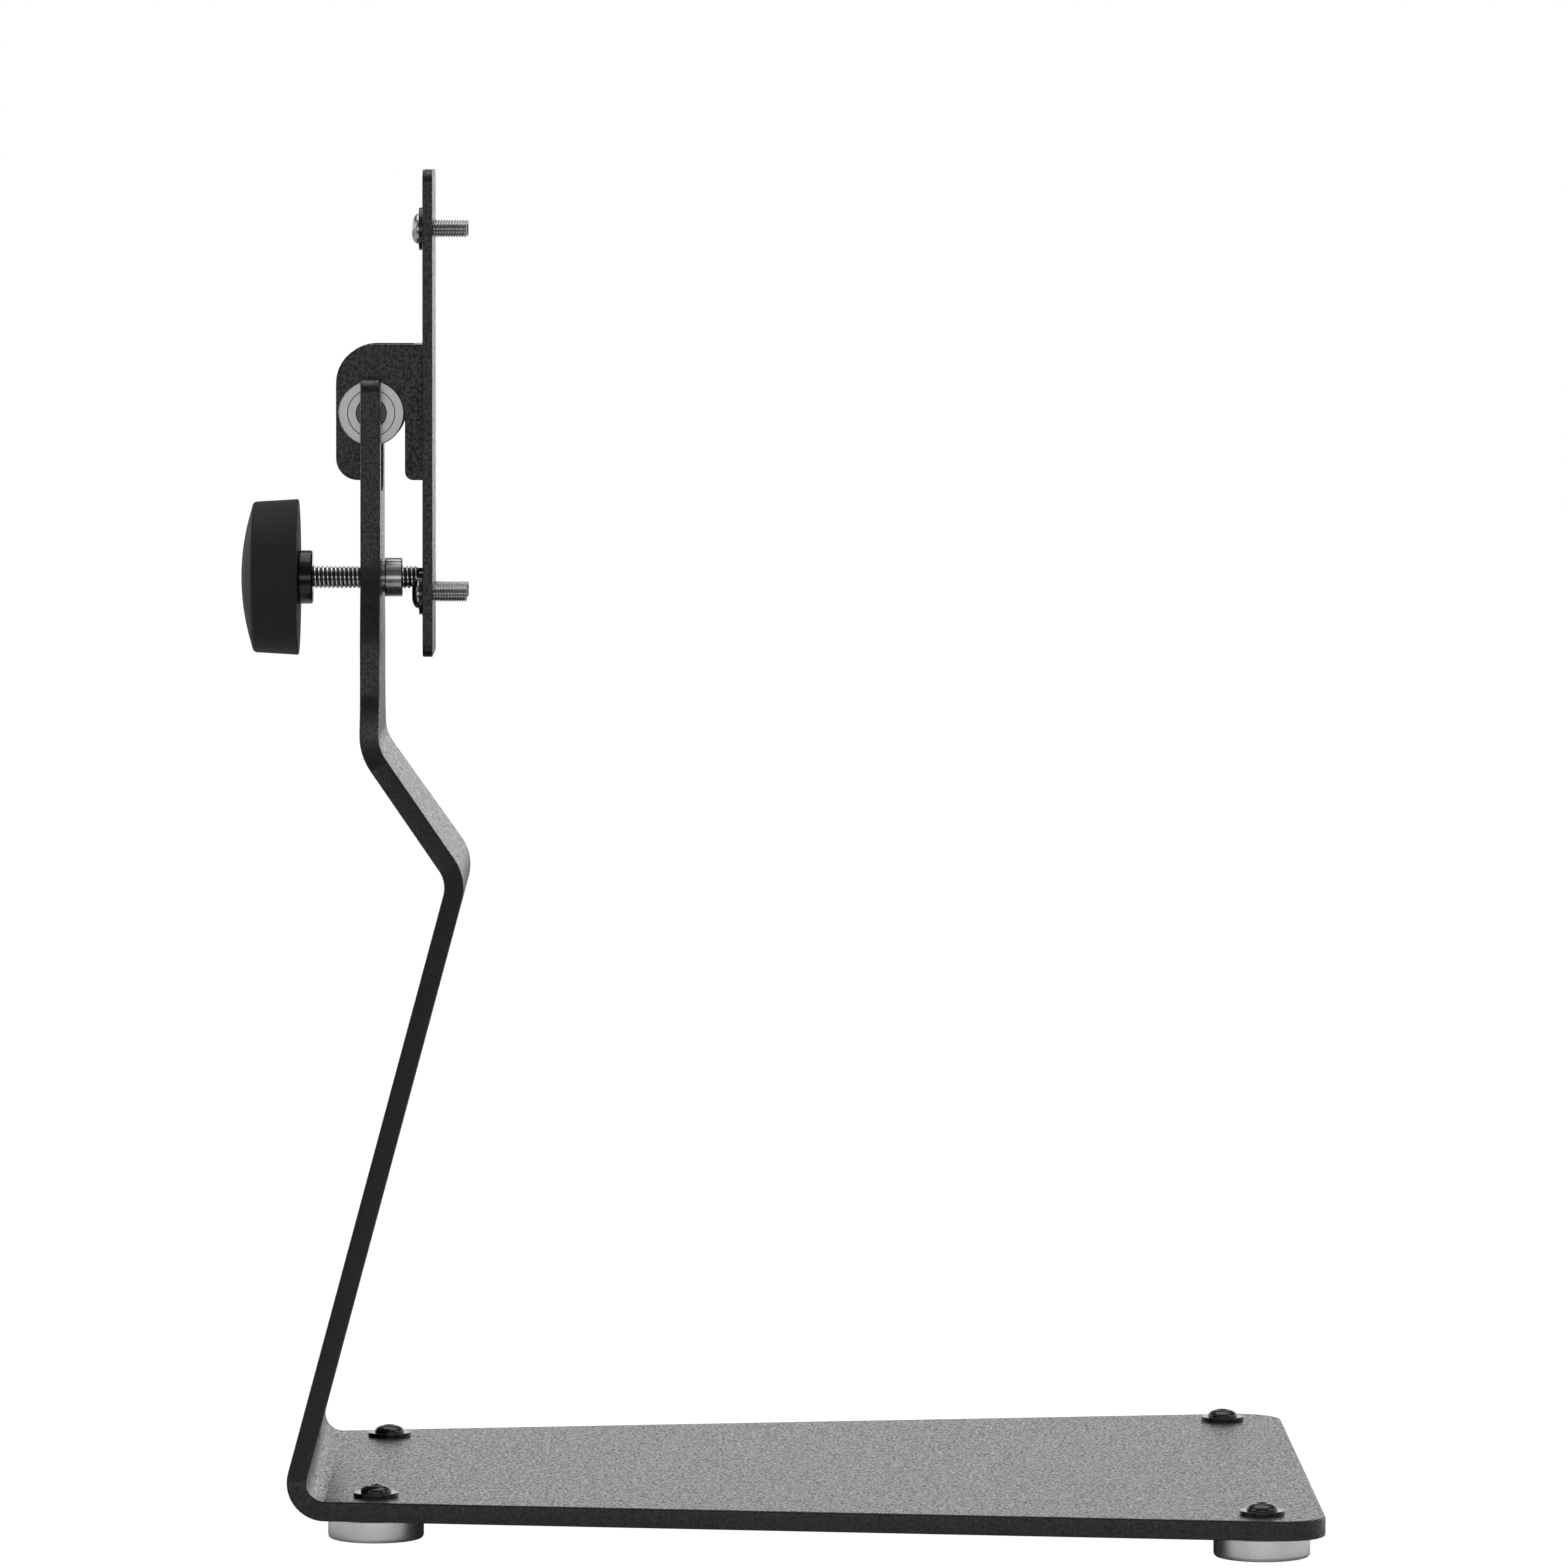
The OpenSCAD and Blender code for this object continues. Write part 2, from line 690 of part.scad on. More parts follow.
// the bright bushing: tail in the post, narrow shoulder, body and through bore
module rod_bushing() {
    edge = 0.4;
    tail = bushing_tail_diameter / 2;
    body = bushing_diameter / 2;
    shoulder_end_x = sheet_thickness + bushing_shoulder;
    total = sheet_thickness + bushing_length;
    color([0.76, 0.76, 0.77])
        difference() {
            along_x(post_rear_x, 0, adjuster_z)
                rotate_extrude()
                    polygon([
                        [0, 0],
                        [tail, 0],
                        [tail, shoulder_end_x],
                        [body - edge, shoulder_end_x],
                        [body, shoulder_end_x + edge],
                        [body, total - edge],
                        [body - edge, total],
                        [0, total]
                    ]);
            along_x(post_rear_x - 1, 0, adjuster_z)
                cylinder(d = bushing_bore, h = total + 2);
        }
}

// the flat plate that carries the loudspeaker
module tilt_plate() {
    width = plate_width - 2 * plate_corner_radius;
    height = plate_height - 2 * plate_corner_radius;
    centre = (plate_top + plate_bottom) / 2;
    color([0.15, 0.15, 0.155])
        difference() {
            translate([plate_rear_x, 0, centre])
                rotate([90, 0, 90])
                    linear_extrude(height = plate_thickness) {
                        square([width, plate_height], center = true);
                        square([plate_width, height], center = true);
                        for (across = [-1, 1], up = [-1, 1])
                            translate([across * width / 2, up * height / 2])
                                circle(r = plate_corner_radius);
                    }
            for (side = [-1, 1], row = [lower_row_z, upper_row_z])
                along_x(plate_rear_x - 1, side * screw_spacing_width / 2, row)
                    cylinder(d = shank_diameter + 2 * hole_clearance, h = plate_thickness + 2);
        }
}

// plan view of the yoke: two ears joined by a web through two bends
module yoke_plan() {
    outer_bend = yoke_bend_radius + yoke_thickness;
    inside = yoke_width - 2 * yoke_thickness;
    ear_length = ear_behind_pivot + plate_offset - outer_bend;
    bend_y = yoke_width / 2 - outer_bend;
    translate([plate_rear_x - yoke_thickness, -bend_y])
        square([yoke_thickness, 2 * bend_y]);
    for (side = [-1, 1]) {
        translate([post_x - ear_behind_pivot, side * (inside + yoke_thickness) / 2 - yoke_thickness / 2])
            square([ear_length, yoke_thickness]);
        translate([plate_rear_x - outer_bend, side * bend_y])
            intersection() {
                difference() {
                    circle(r = outer_bend);
                    circle(r = yoke_bend_radius);
                }
                translate([0, side > 0 ? 0 : -outer_bend])
                    square([outer_bend, outer_bend]);
            }
    }
}

// what a corner loses when it is rounded: the corner lies at zero and the material above right of it
module corner_loss(r) {
    translate([-1, -1])
        difference() {
            square([r + 1, r + 1]);
            translate([r + 1, r + 1])
                circle(r = r);
        }
}

// side view of the yoke's ears: rounded rear corners and the hook slot, measured from the tilt axis
module ear_side_view() {
    difference() {
        translate([-ear_behind_pivot, -ear_below_pivot])
            square([ear_behind_pivot + plate_offset, ear_below_pivot + ear_above_pivot]);
        translate([-ear_behind_pivot, ear_above_pivot])
            mirror([0, 1])
                corner_loss(ear_upper_radius);
        translate([-ear_behind_pivot, -ear_below_pivot])
            corner_loss(ear_lower_radius);
        translate([hook_front, -ear_below_pivot])
            corner_loss(hook_corner_radius);
        circle(r = hook_radius);
        translate([0, -hook_radius])
            square([hook_front - hook_turn_radius, 2 * hook_radius]);
        translate([hook_lip, -ear_below_pivot - 1])
            square([hook_front - hook_lip, ear_below_pivot + 1 + hook_radius - hook_turn_radius]);
        translate([hook_front - hook_turn_radius, hook_radius - hook_turn_radius])
            intersection() {
                circle(r = hook_turn_radius);
                square([hook_turn_radius, hook_turn_radius]);
            }
    }
}

// the U-shaped yoke that hooks over the axle and carries the tilt plate
module hinge_yoke() {
    color([0.15, 0.15, 0.155])
        intersection() {
            translate([0, 0, pivot_height - ear_below_pivot - 1])
                linear_extrude(height = ear_below_pivot + ear_above_pivot + 2)
                    yoke_plan();
            translate([post_x, yoke_width, pivot_height])
                rotate([90, 0, 0])
                    linear_extrude(height = 2 * yoke_width)
                        ear_side_view();
        }
}

// a button head screw through the tilt plate, with its shank standing out of the front
module plate_screw(y, z) {
    through = plate_washer_thickness + plate_thickness;
    color([0.72, 0.72, 0.73])
        translate([plate_rear_x - plate_washer_thickness, y, z])
            rotate([0, -90, 0])
                button_screw(through + screw_reach, through);
}

module plate_screw_upper_left() {
    plate_screw(screw_spacing_width / 2, upper_row_z);
}

module plate_screw_upper_right() {
    plate_screw(-screw_spacing_width / 2, upper_row_z);
}

module plate_screw_lower_left() {
    plate_screw(screw_spacing_width / 2, lower_row_z);
}

module plate_screw_lower_right() {
    plate_screw(-screw_spacing_width / 2, lower_row_z);
}

module plate_washer(y, z) {
    color([0.13, 0.13, 0.135])
        along_x(plate_rear_x - plate_washer_thickness, y, z)
            flat_washer(plate_washer_diameter, plate_washer_thickness);
}

module plate_washer_upper_left() {
    plate_washer(screw_spacing_width / 2, upper_row_z);
}

module plate_washer_upper_right() {
    plate_washer(-screw_spacing_width / 2, upper_row_z);
}

module plate_washer_lower_left() {
    plate_washer(screw_spacing_width / 2, lower_row_z);
}

module plate_washer_lower_right() {
    plate_washer(-screw_spacing_width / 2, lower_row_z);
}

// the bright adjuster rod at its outer thread diameter, with a bore for the nose's stem
module threaded_rod() {
    edge = 0.6;
    r = rod_diameter / 2;
    stem_bore = nose_stem_diameter + 2 * running_clearance;
    color([0.74, 0.74, 0.75])
        difference() {
            along_x(rod_end_x, 0, adjuster_z)
                rotate_extrude()
                    polygon([
                        [0, 0],
                        [r - edge, 0],
                        [r, edge],
                        [r, rod_length - edge],
                        [r - edge, rod_length],
                        [0, rod_length]
                    ]);
            along_x(rod_tip_x - nose_stem_length - nose_gap, 0, adjuster_z)
                cylinder(d = stem_bore, h = nose_stem_length + nose_gap + 1);
        }
}

// the soft nose: a button in front of the rod and a stem in its bore
module rod_nose() {
    color([0.16, 0.16, 0.16]) {
        along_x(rod_tip_x, 0, adjuster_z)
            cylinder(d = nose_diameter, h = nose_thickness);
        along_x(rod_tip_x - nose_stem_length, 0, adjuster_z)
            cylinder(d = nose_stem_diameter, h = nose_stem_length + nose_thickness / 2);
    }
}

// the black adjuster knob: slightly tapered body, domed rear face and a bore for the insert
module knob() {
    front = knob_front_diameter / 2;
    rear = knob_rear_diameter / 2;
    color([0.12, 0.12, 0.125])
        difference() {
            along_x(knob_front_x, 0, adjuster_z)
                mirror([0, 0, 1])
                    rotate_extrude() {
                        polygon([
                            [0, 0],
                            [front - knob_front_edge, 0],
                            [front, knob_front_edge],
                            [rear, knob_body_length - knob_edge],
                            [rear - knob_edge, knob_body_length],
                            [0, knob_body_length]
                        ]);
                        intersection() {
                            translate([0, knob_length - knob_dome_radius])
                                circle(r = knob_dome_radius);
                            translate([0, knob_body_length - knob_edge])
                                square([rear - knob_edge, knob_length]);
                        }
                    }
            along_x(knob_front_x - insert_depth - fixed_clearance, 0, adjuster_z)
                cylinder(d = insert_diameter + 2 * fixed_clearance, h = insert_depth + 1);
        }
}

// the glossy boss in front of the knob and the insert inside it that holds the rod
module knob_insert() {
    edge = 0.5;
    boss = boss_diameter / 2;
    stem = insert_diameter / 2;
    total = insert_depth + boss_length;
    color([0.05, 0.05, 0.05])
        difference() {
            along_x(knob_front_x - insert_depth, 0, adjuster_z)
                rotate_extrude()
                    polygon([
                        [0, 0],
                        [stem, 0],
                        [stem, insert_depth],
                        [boss, insert_depth],
                        [boss, total - edge],
                        [boss - edge, total],
                        [0, total]
                    ]);
            along_x(rod_end_x - fixed_clearance, 0, adjuster_z)
                cylinder(d = rod_diameter + 2 * fixed_clearance, h = total + 1);
        }
}

stand_frame();
foot_front_left();
foot_front_right();
foot_rear_left();
foot_rear_right();
foot_pad_front_left();
foot_pad_front_right();
foot_pad_rear_left();
foot_pad_rear_right();
foot_screw_front_left();
foot_screw_front_right();
foot_screw_rear_left();
foot_screw_rear_right();
foot_washer_front_left();
foot_washer_front_right();
foot_washer_rear_left();
foot_washer_rear_right();
pivot_axle();
axle_disc_left();
axle_disc_right();
axle_pin_left();
axle_pin_right();
rod_bushing();
tilt_plate();
hinge_yoke();
plate_screw_upper_left();
plate_screw_upper_right();
plate_screw_lower_left();
plate_screw_lower_right();
plate_washer_upper_left();
plate_washer_upper_right();
plate_washer_lower_left();
plate_washer_lower_right();
threaded_rod();
rod_nose();
knob();
knob_insert();
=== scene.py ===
"""Looks of a desktop speaker stand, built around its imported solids.

Lengths in this file are millimetres, as on a workshop drawing. They become
metres once, when a finished mesh is handed to Blender. +X is towards the front
edge of the base, +Y is to the left and +Z is up.
"""

from __future__ import annotations

import logging
import math
from collections.abc import Callable, Iterable, Sequence
from dataclasses import dataclass, field
from enum import Enum

import bmesh
import bpy
from bmesh.types import BMesh
from mathutils import Matrix, Vector


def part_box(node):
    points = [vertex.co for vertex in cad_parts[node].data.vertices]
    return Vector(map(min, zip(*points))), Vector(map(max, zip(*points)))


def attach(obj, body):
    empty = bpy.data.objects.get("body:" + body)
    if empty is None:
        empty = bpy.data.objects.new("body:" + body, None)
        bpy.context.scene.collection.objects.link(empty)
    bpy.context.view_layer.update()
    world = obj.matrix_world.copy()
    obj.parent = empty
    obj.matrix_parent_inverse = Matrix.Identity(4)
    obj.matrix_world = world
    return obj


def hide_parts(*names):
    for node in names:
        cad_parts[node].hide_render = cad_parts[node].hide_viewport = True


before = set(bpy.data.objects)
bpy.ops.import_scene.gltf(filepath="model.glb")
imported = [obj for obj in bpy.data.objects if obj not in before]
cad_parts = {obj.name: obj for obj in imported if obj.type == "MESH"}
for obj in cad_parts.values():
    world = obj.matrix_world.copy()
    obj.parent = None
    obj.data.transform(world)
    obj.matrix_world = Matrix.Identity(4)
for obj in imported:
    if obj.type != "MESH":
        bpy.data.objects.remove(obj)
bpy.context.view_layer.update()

LOG = logging.getLogger("speaker_stand")
MM = 0.001
# places closer than this many millimetres are the same
NEAR = 1e-3
# degrees that the sheet turns between two creases of a bend
CREASE_TURN = 6.0
FOOT_PLACES = ("front_left", "front_right", "rear_left", "rear_right")
SCREW_PLACES = ("upper_left", "upper_right", "lower_left", "lower_right")
Colour = tuple[float, float, float]
Number = float | int

# a flat blank's X, Y and Z become the stand's Y, Z and X
ACROSS = Matrix(((0, 0, 1, 0), (1, 0, 0, 0), (0, 1, 0, 0), (0, 0, 0, 1)))
# a flat blank's X stays, its Y becomes Z and its Z becomes minus Y
ALONG = Matrix(((1, 0, 0, 0), (0, 0, -1, 0), (0, 1, 0, 0), (0, 0, 0, 1)))


class Body(Enum):
    """The moving bodies of the stand."""

    STAND = "stand"
    BRACKET = "tilt_bracket"
    NOSE = "nose"
    ADJUSTER = "adjuster"


class Facing(Enum):
    """The way that the upper end of a turned piece faces."""

    UP = (0.0, 0.0, 1.0)
    FORWARD = (1.0, 0.0, 0.0)
    BACKWARD = (-1.0, 0.0, 0.0)
    LEFT = (0.0, 1.0, 0.0)
    RIGHT = (0.0, -1.0, 0.0)

    def turn(self) -> Matrix:
        """Return the rotation that takes +Z to this direction."""
        return Vector((0, 0, 1)).rotation_difference(Vector(self.value)).to_matrix().to_4x4()


class Signal:
    """A number that varies over a surface; arithmetic on it adds Math nodes."""

    def __init__(self, recipe: Recipe, socket: bpy.types.NodeSocket) -> None:
        """Wrap a socket.

        Args:
            recipe: The node tree that the socket is in.
            socket: The output that carries the number.
        """
        self.recipe = recipe
        self.socket = socket

    def _with(self, operation: str, *operands: Signal | Number) -> Signal:
        """Join operands through one Math node.

        Args:
            operation: The Math node's operation.
            operands: Signals and plain numbers, in order.

        Returns:
            The node's result.
        """
        node = self.recipe.add(
            "ShaderNodeMath", {"operation": operation}, dict(enumerate(operands))
        )
        return Signal(self.recipe, node.outputs[0])

    def __add__(self, other: Signal | Number) -> Signal:
        """Return self + other."""
        return self._with("ADD", self, other)

    __radd__ = __add__

    def __sub__(self, other: Signal | Number) -> Signal:
        """Return self - other."""
        return self._with("SUBTRACT", self, other)

    def __rsub__(self, other: Signal | Number) -> Signal:
        """Return other - self."""
        return self._with("SUBTRACT", other, self)

    def __mul__(self, other: Signal | Number) -> Signal:
        """Return self * other."""
        return self._with("MULTIPLY", self, other)

    __rmul__ = __mul__

    def __truediv__(self, other: Signal | Number) -> Signal:
        """Return self / other."""
        return self._with("DIVIDE", self, other)

    def clipped(self) -> Signal:
        """Return the number held between 0 and 1."""
        return self._with("MAXIMUM", self._with("MINIMUM", self, 1.0), 0.0)

    def ramp(self, low: float, high: float) -> Signal:
        """Return 0 below low, 1 above high and a straight ramp between.

        Args:
            low: Where the ramp starts.
            high: Where the ramp ends.

        Returns:
            The ramp, held between 0 and 1.
        """
        return ((self - low) / (high - low)).clipped()

    def evened(self) -> Signal:
        """Return a noise's usual run, from 0.3 to 0.7, as 0 to 1."""
        return self.ramp(0.3, 0.7)

    def spread(self, low: float, high: float) -> Signal:
        """Stretch a number between 0 and 1 to run from low to high.

        Args:
            low: The value at 0.
            high: The value at 1.

        Returns:
            The stretched number.
        """
        return self * (high - low) + low


class Recipe:
    """A node tree that is being filled."""

    def __init__(self, tree: bpy.types.NodeTree) -> None:
        """Start with an empty tree.

        Args:
            tree: The node tree of a material or world.
        """
        self.tree = tree
        tree.nodes.clear()

    def add(
        self,
        kind: str,
        settings: dict[str, object] | None = None,
        sockets: dict[str | int, object] | None = None,
    ) -> bpy.types.Node:
        """Add one node, set it up and feed its inputs.

        Args:
            kind: The node's type.
            settings: Properties of the node, which are set first.
            sockets: Values, sockets or signals by the input's name or number.

        Returns:
            The new node.
        """
        node = self.tree.nodes.new(kind)
        for name, value in (settings or {}).items():
            setattr(node, name, value)
        for key, value in (sockets or {}).items():
            if isinstance(value, Signal):
                self.tree.links.new(value.socket, node.inputs[key])
            elif isinstance(value, bpy.types.NodeSocket):
                self.tree.links.new(value, node.inputs[key])
            else:
                node.inputs[key].default_value = value
        return node

    def place(self) -> bpy.types.NodeSocket:
        """Return the object coordinates, in metres."""
        return self.add("ShaderNodeTexCoord").outputs["Object"]

    def turned(self) -> tuple[Signal, Signal]:
        """Return the radius and the height on a turned piece, in millimetres."""
        node = self.add("ShaderNodeAttribute", {"attribute_name": "turned"})
        parts = self.add("ShaderNodeSeparateXYZ", None, {0: node.outputs["Vector"]})
        return Signal(self, parts.outputs[0]), Signal(self, parts.outputs[1])

    def noise(
        self,
        where: bpy.types.NodeSocket,
        grain: float,
        detail: float = 2.0,
        roughness: float = 0.5,
    ) -> Signal:
        """Add a noise over object coordinates.

        Args:
            where: The coordinates, in metres.
            grain: The size of one grain, in millimetres.
            detail: The number of finer layers.
            roughness: The weight of the finer layers.

        Returns:
            The noise, around 0.5.
        """
        node = self.add(
            "ShaderNodeTexNoise",
            {"noise_dimensions": "3D"},
            {
                "Vector": where,
                "Scale": 1.0 / (grain * MM),
                "Detail": detail,
                "Roughness": roughness,
            },
        )
        return Signal(self, node.outputs[0])

    def marks(self, pitch: float, slant: float = 1.3) -> Signal:
        """Add uneven fine marks, as a turning tool leaves them.

        Args:
            pitch: The distance of two marks, in millimetres.
            slant: How much closer the marks lie along the axis than across it.

        Returns:
            The marks' height, around 0.5.
        """
        radius, height = self.turned()
        node = self.add(
            "ShaderNodeTexNoise",
            {"noise_dimensions": "1D"},
            {"W": radius + height * slant, "Scale": 1.0 / pitch, "Detail": 3.0, "Roughness": 0.6},
        )
        return Signal(self, node.outputs[0])

    def blend(self, share: Signal, first: Colour, second: Colour) -> bpy.types.NodeSocket:
        """Blend two colours.

        Args:
            share: 0 gives the first colour, 1 the second.
            first: A linear colour.
            second: A linear colour.

        Returns:
            The blended colour.
        """
        node = self.add(
            "ShaderNodeMix",
            {"data_type": "RGBA"},
            {0: share, 6: (*first, 1.0), 7: (*second, 1.0)},
        )
        return node.outputs[2]

    def bump(self, height: Signal, relief: float, strength: float = 1.0) -> bpy.types.NodeSocket:
        """Turn a height into a normal.

        Args:
            height: The height, of which 1 is one relief.
            relief: The height difference, in millimetres.
            strength: The share of the effect.

        Returns:
            The normal.
        """
        node = self.add(
            "ShaderNodeBump",
            None,
            {"Strength": strength, "Distance": relief * MM, "Height": height},
        )
        return node.outputs[0]

    def surface(self, sockets: dict[str | int, object]) -> None:
        """Add the principled shader and the output.

        Args:
            sockets: What the shader's inputs get.
        """
        shader = self.add("ShaderNodeBsdfPrincipled", None, sockets)
        self.add("ShaderNodeOutputMaterial", None, {"Surface": shader.outputs[0]})


class Finish:
    """A surface finish that becomes one Blender material."""

    slot: str
    _made: dict[Finish, bpy.types.Material] = {}

    def material(self) -> bpy.types.Material:
        """Return the finish's material, which is made at the first call."""
        if self not in Finish._made:
            made = bpy.data.materials.new(type(self).__name__)
            made.use_nodes = True
            self.mix(Recipe(made.node_tree))
            Finish._made[self] = made
        return Finish._made[self]

    def mix(self, recipe: Recipe) -> None:
        """Fill the material's tree.

        Args:
            recipe: The empty tree.
        """
        raise NotImplementedError


@dataclass(frozen=True)
class PowderCoat(Finish):
    """Fine textured matt black powder coat, whose grains shine at a low angle."""

    slot: str = "black_powder_coat"
    dull: Colour = (0.0200, 0.0200, 0.0204)
    glossy: Colour = (0.0025, 0.0025, 0.0027)
    grain: float = 0.95
    swell: float = 2.2
    relief: float = 0.07
    shine_starts: float = 0.41
    shine_full: float = 0.58
    dull_roughness: float = 0.48
    glossy_roughness: float = 0.34
    dull_coat: float = 0.03
    glossy_coat: float = 0.8

    def mix(self, recipe: Recipe) -> None:
        """Fill the tree with grains on a slightly wavy coat."""
        where = recipe.place()
        grains = recipe.noise(where, self.grain, 3.0, 0.68)
        swell = recipe.noise(where, self.swell, 1.0)
        height = grains * 0.8 + swell * 0.5
        gloss = (grains * 0.9 + swell * 0.1).ramp(self.shine_starts, self.shine_full)
        recipe.surface(
            {
                "Base Color": recipe.blend(gloss, self.dull, self.glossy),
                "Roughness": gloss.spread(self.dull_roughness, self.glossy_roughness),
                "Specular IOR Level": 0.28,
                "Coat Weight": gloss.spread(self.dull_coat, self.glossy_coat),
                "Coat Roughness": 0.24,
                "Normal": recipe.bump(height, self.relief),
            }
        )


@dataclass(frozen=True)
class SatinAluminium(Finish):
    """Turned and satin blasted aluminium of the feet."""

    slot: str = "satin_aluminium"
    dark: Colour = (0.72, 0.72, 0.73)
    pale: Colour = (0.88, 0.88, 0.885)
    mark_pitch: float = 0.16
    grain: float = 0.25
    relief: float = 0.003

    def mix(self, recipe: Recipe) -> None:
        """Fill the tree with turning marks and a fine blasted grain."""
        marks = recipe.marks(self.mark_pitch, 1.7)
        grain = recipe.noise(recipe.place(), self.grain, 2.0)
        recipe.surface(
            {
                "Base Color": recipe.blend(marks.evened(), self.dark, self.pale),
                "Metallic": 1.0,
                "Roughness": grain.evened().spread(0.27, 0.36),
                "Normal": recipe.bump(marks * 0.6 + grain * 0.4, self.relief, 0.6),
            }
        )


@dataclass(frozen=True)
class BrightSteel(Finish):
    """Bright turned steel."""

    slot: str = "bright_steel"
    dark: Colour = (0.42, 0.42, 0.43)
    pale: Colour = (0.58, 0.58, 0.59)
    mark_pitch: float = 0.12
    cloud: float = 1.8
    relief: float = 0.0015

    def mix(self, recipe: Recipe) -> None:
        """Fill the tree with concentric turning marks."""
        marks = recipe.marks(self.mark_pitch)
        cloud = recipe.noise(recipe.place(), self.cloud, 2.0)
        tone = (marks * 0.6 + cloud * 0.4).evened()
        recipe.surface(
            {
                "Base Color": recipe.blend(tone, self.dark, self.pale),
                "Metallic": 1.0,
                "Roughness": cloud.evened().spread(0.16, 0.24),
                "Normal": recipe.bump(marks, self.relief, 0.5),
            }
        )


@dataclass(frozen=True)
class ThreadSteel(Finish):
    """Bright steel of the rod, with painted shade darkening the grooves of its thread."""

    slot: str = "bright_steel"
    # colour of the painted shade at the bottom of the grooves
    painted_groove_shade: Colour = (0.11, 0.11, 0.112)
    crest: Colour = (0.66, 0.66, 0.67)
    groove_radius: float = 2.86
    crest_radius: float = 3.32
    mark_pitch: float = 0.12
    relief: float = 0.0015

    def mix(self, recipe: Recipe) -> None:
        """Fill the tree with a colour and gloss that follow the thread's depth; the dark colour
        in the grooves is painted shade.
        """
        radius, _ = recipe.turned()
        # painted shade: the base colour darkens from the crest down into the grooves
        crest = radius.ramp(self.groove_radius, self.crest_radius)
        recipe.surface(
            {
                "Base Color": recipe.blend(crest, self.painted_groove_shade, self.crest),
                "Metallic": 1.0,
                "Roughness": crest.spread(0.34, 0.17),
                "Normal": recipe.bump(recipe.marks(self.mark_pitch), self.relief, 0.5),
            }
        )


@dataclass(frozen=True)
class BlackSteel(Finish):
    """Blackened, lightly oiled steel of screws, washers and axle."""

    slot: str = "black_steel"
    dark: Colour = (0.006, 0.006, 0.0065)
    pale: Colour = (0.016, 0.016, 0.017)
    mark_pitch: float = 0.20
    cloud: float = 0.9
    relief: float = 0.004

    def mix(self, recipe: Recipe) -> None:
        """Fill the tree with a mottled oxide layer."""
        marks = recipe.marks(self.mark_pitch)
        cloud = recipe.noise(recipe.place(), self.cloud, 3.0, 0.6)
        recipe.surface(
            {
                "Base Color": recipe.blend(cloud.evened(), self.dark, self.pale),
                "Roughness": cloud.evened().spread(0.10, 0.20),
                "Specular IOR Level": 0.7,
                "Normal": recipe.bump(marks * 0.5 + cloud * 0.5, self.relief, 0.5),
            }
        )


@dataclass(frozen=True)
class KnobPlastic(Finish):
    """Matt black moulded plastic with a spark-eroded grain."""

    slot: str = "knob_plastic"
    dark: Colour = (0.020, 0.020, 0.0205)
    pale: Colour = (0.029, 0.029, 0.030)
    grain: float = 0.22
    cloud: float = 6.0
    relief: float = 0.014

    def mix(self, recipe: Recipe) -> None:
        """Fill the tree with the mould's fine grain."""
        where = recipe.place()
        grain = recipe.noise(where, self.grain, 2.0, 0.6)
        cloud = recipe.noise(where, self.cloud, 2.0)
        tone = (grain * 0.6 + cloud * 0.4).evened()
        recipe.surface(
            {
                "Base Color": recipe.blend(tone, self.dark, self.pale),
                "Roughness": cloud.evened().spread(0.58, 0.68),
                "Specular IOR Level": 0.2,
                "Normal": recipe.bump(grain, self.relief, 0.7),
            }
        )


@dataclass(frozen=True)
class BossPlastic(Finish):
    """Glossy black plastic of the knob's boss."""

    slot: str = "boss_plastic"
    dark: Colour = (0.004, 0.004, 0.0045)
    pale: Colour = (0.010, 0.010, 0.011)
    wave: float = 3.5
    dust: float = 0.5
    relief: float = 0.02

    def mix(self, recipe: Recipe) -> None:
        """Fill the tree with a faintly wavy gloss."""
        where = recipe.place()
        wave = recipe.noise(where, self.wave, 2.0)
        dust = recipe.noise(where, self.dust, 3.0, 0.7)
        recipe.surface(
            {
                "Base Color": recipe.blend(wave.evened(), self.dark, self.pale),
                "Roughness": dust.ramp(0.45, 0.8).spread(0.08, 0.20),
                "Normal": recipe.bump(wave, self.relief, 0.4),
            }
        )


@dataclass(frozen=True)
class SoftPad(Finish):
    """Soft black rubber."""

    slot: str = "soft_pad"
    dark: Colour = (0.016, 0.016, 0.016)
    pale: Colour = (0.036, 0.036, 0.036)
    grain: float = 0.35
    relief: float = 0.03

    def mix(self, recipe: Recipe) -> None:
        """Fill the tree with a dull, dusty grain."""
        grain = recipe.noise(recipe.place(), self.grain, 3.0, 0.6)
        recipe.surface(
            {
                "Base Color": recipe.blend(grain.evened(), self.dark, self.pale),
                "Roughness": grain.evened().spread(0.70, 0.86),
                "Normal": recipe.bump(grain, self.relief, 0.6),
            }
        )


def box_mm(node: str) -> tuple[Vector, Vector]:
    """Return a solid's lowest and highest corner in millimetres.

    Args:
        node: The solid's name.

    Returns:
        Both corners.
    """
    low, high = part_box(node)
    return low / MM, high / MM


def middle_mm(node: str) -> Vector:
    """Return the middle of a solid's box in millimetres."""
    low, high = box_mm(node)
    return (low + high) / 2


@dataclass(frozen=True)
class Ring:
    """One corner of a turned profile.

    Attributes:
        radius: Distance from the axis.
        height: Place along the axis.
        rounding: Radius of the rounded corner, 0 for a sharp one.
    """

    radius: float
    height: float
    rounding: float = 0.0


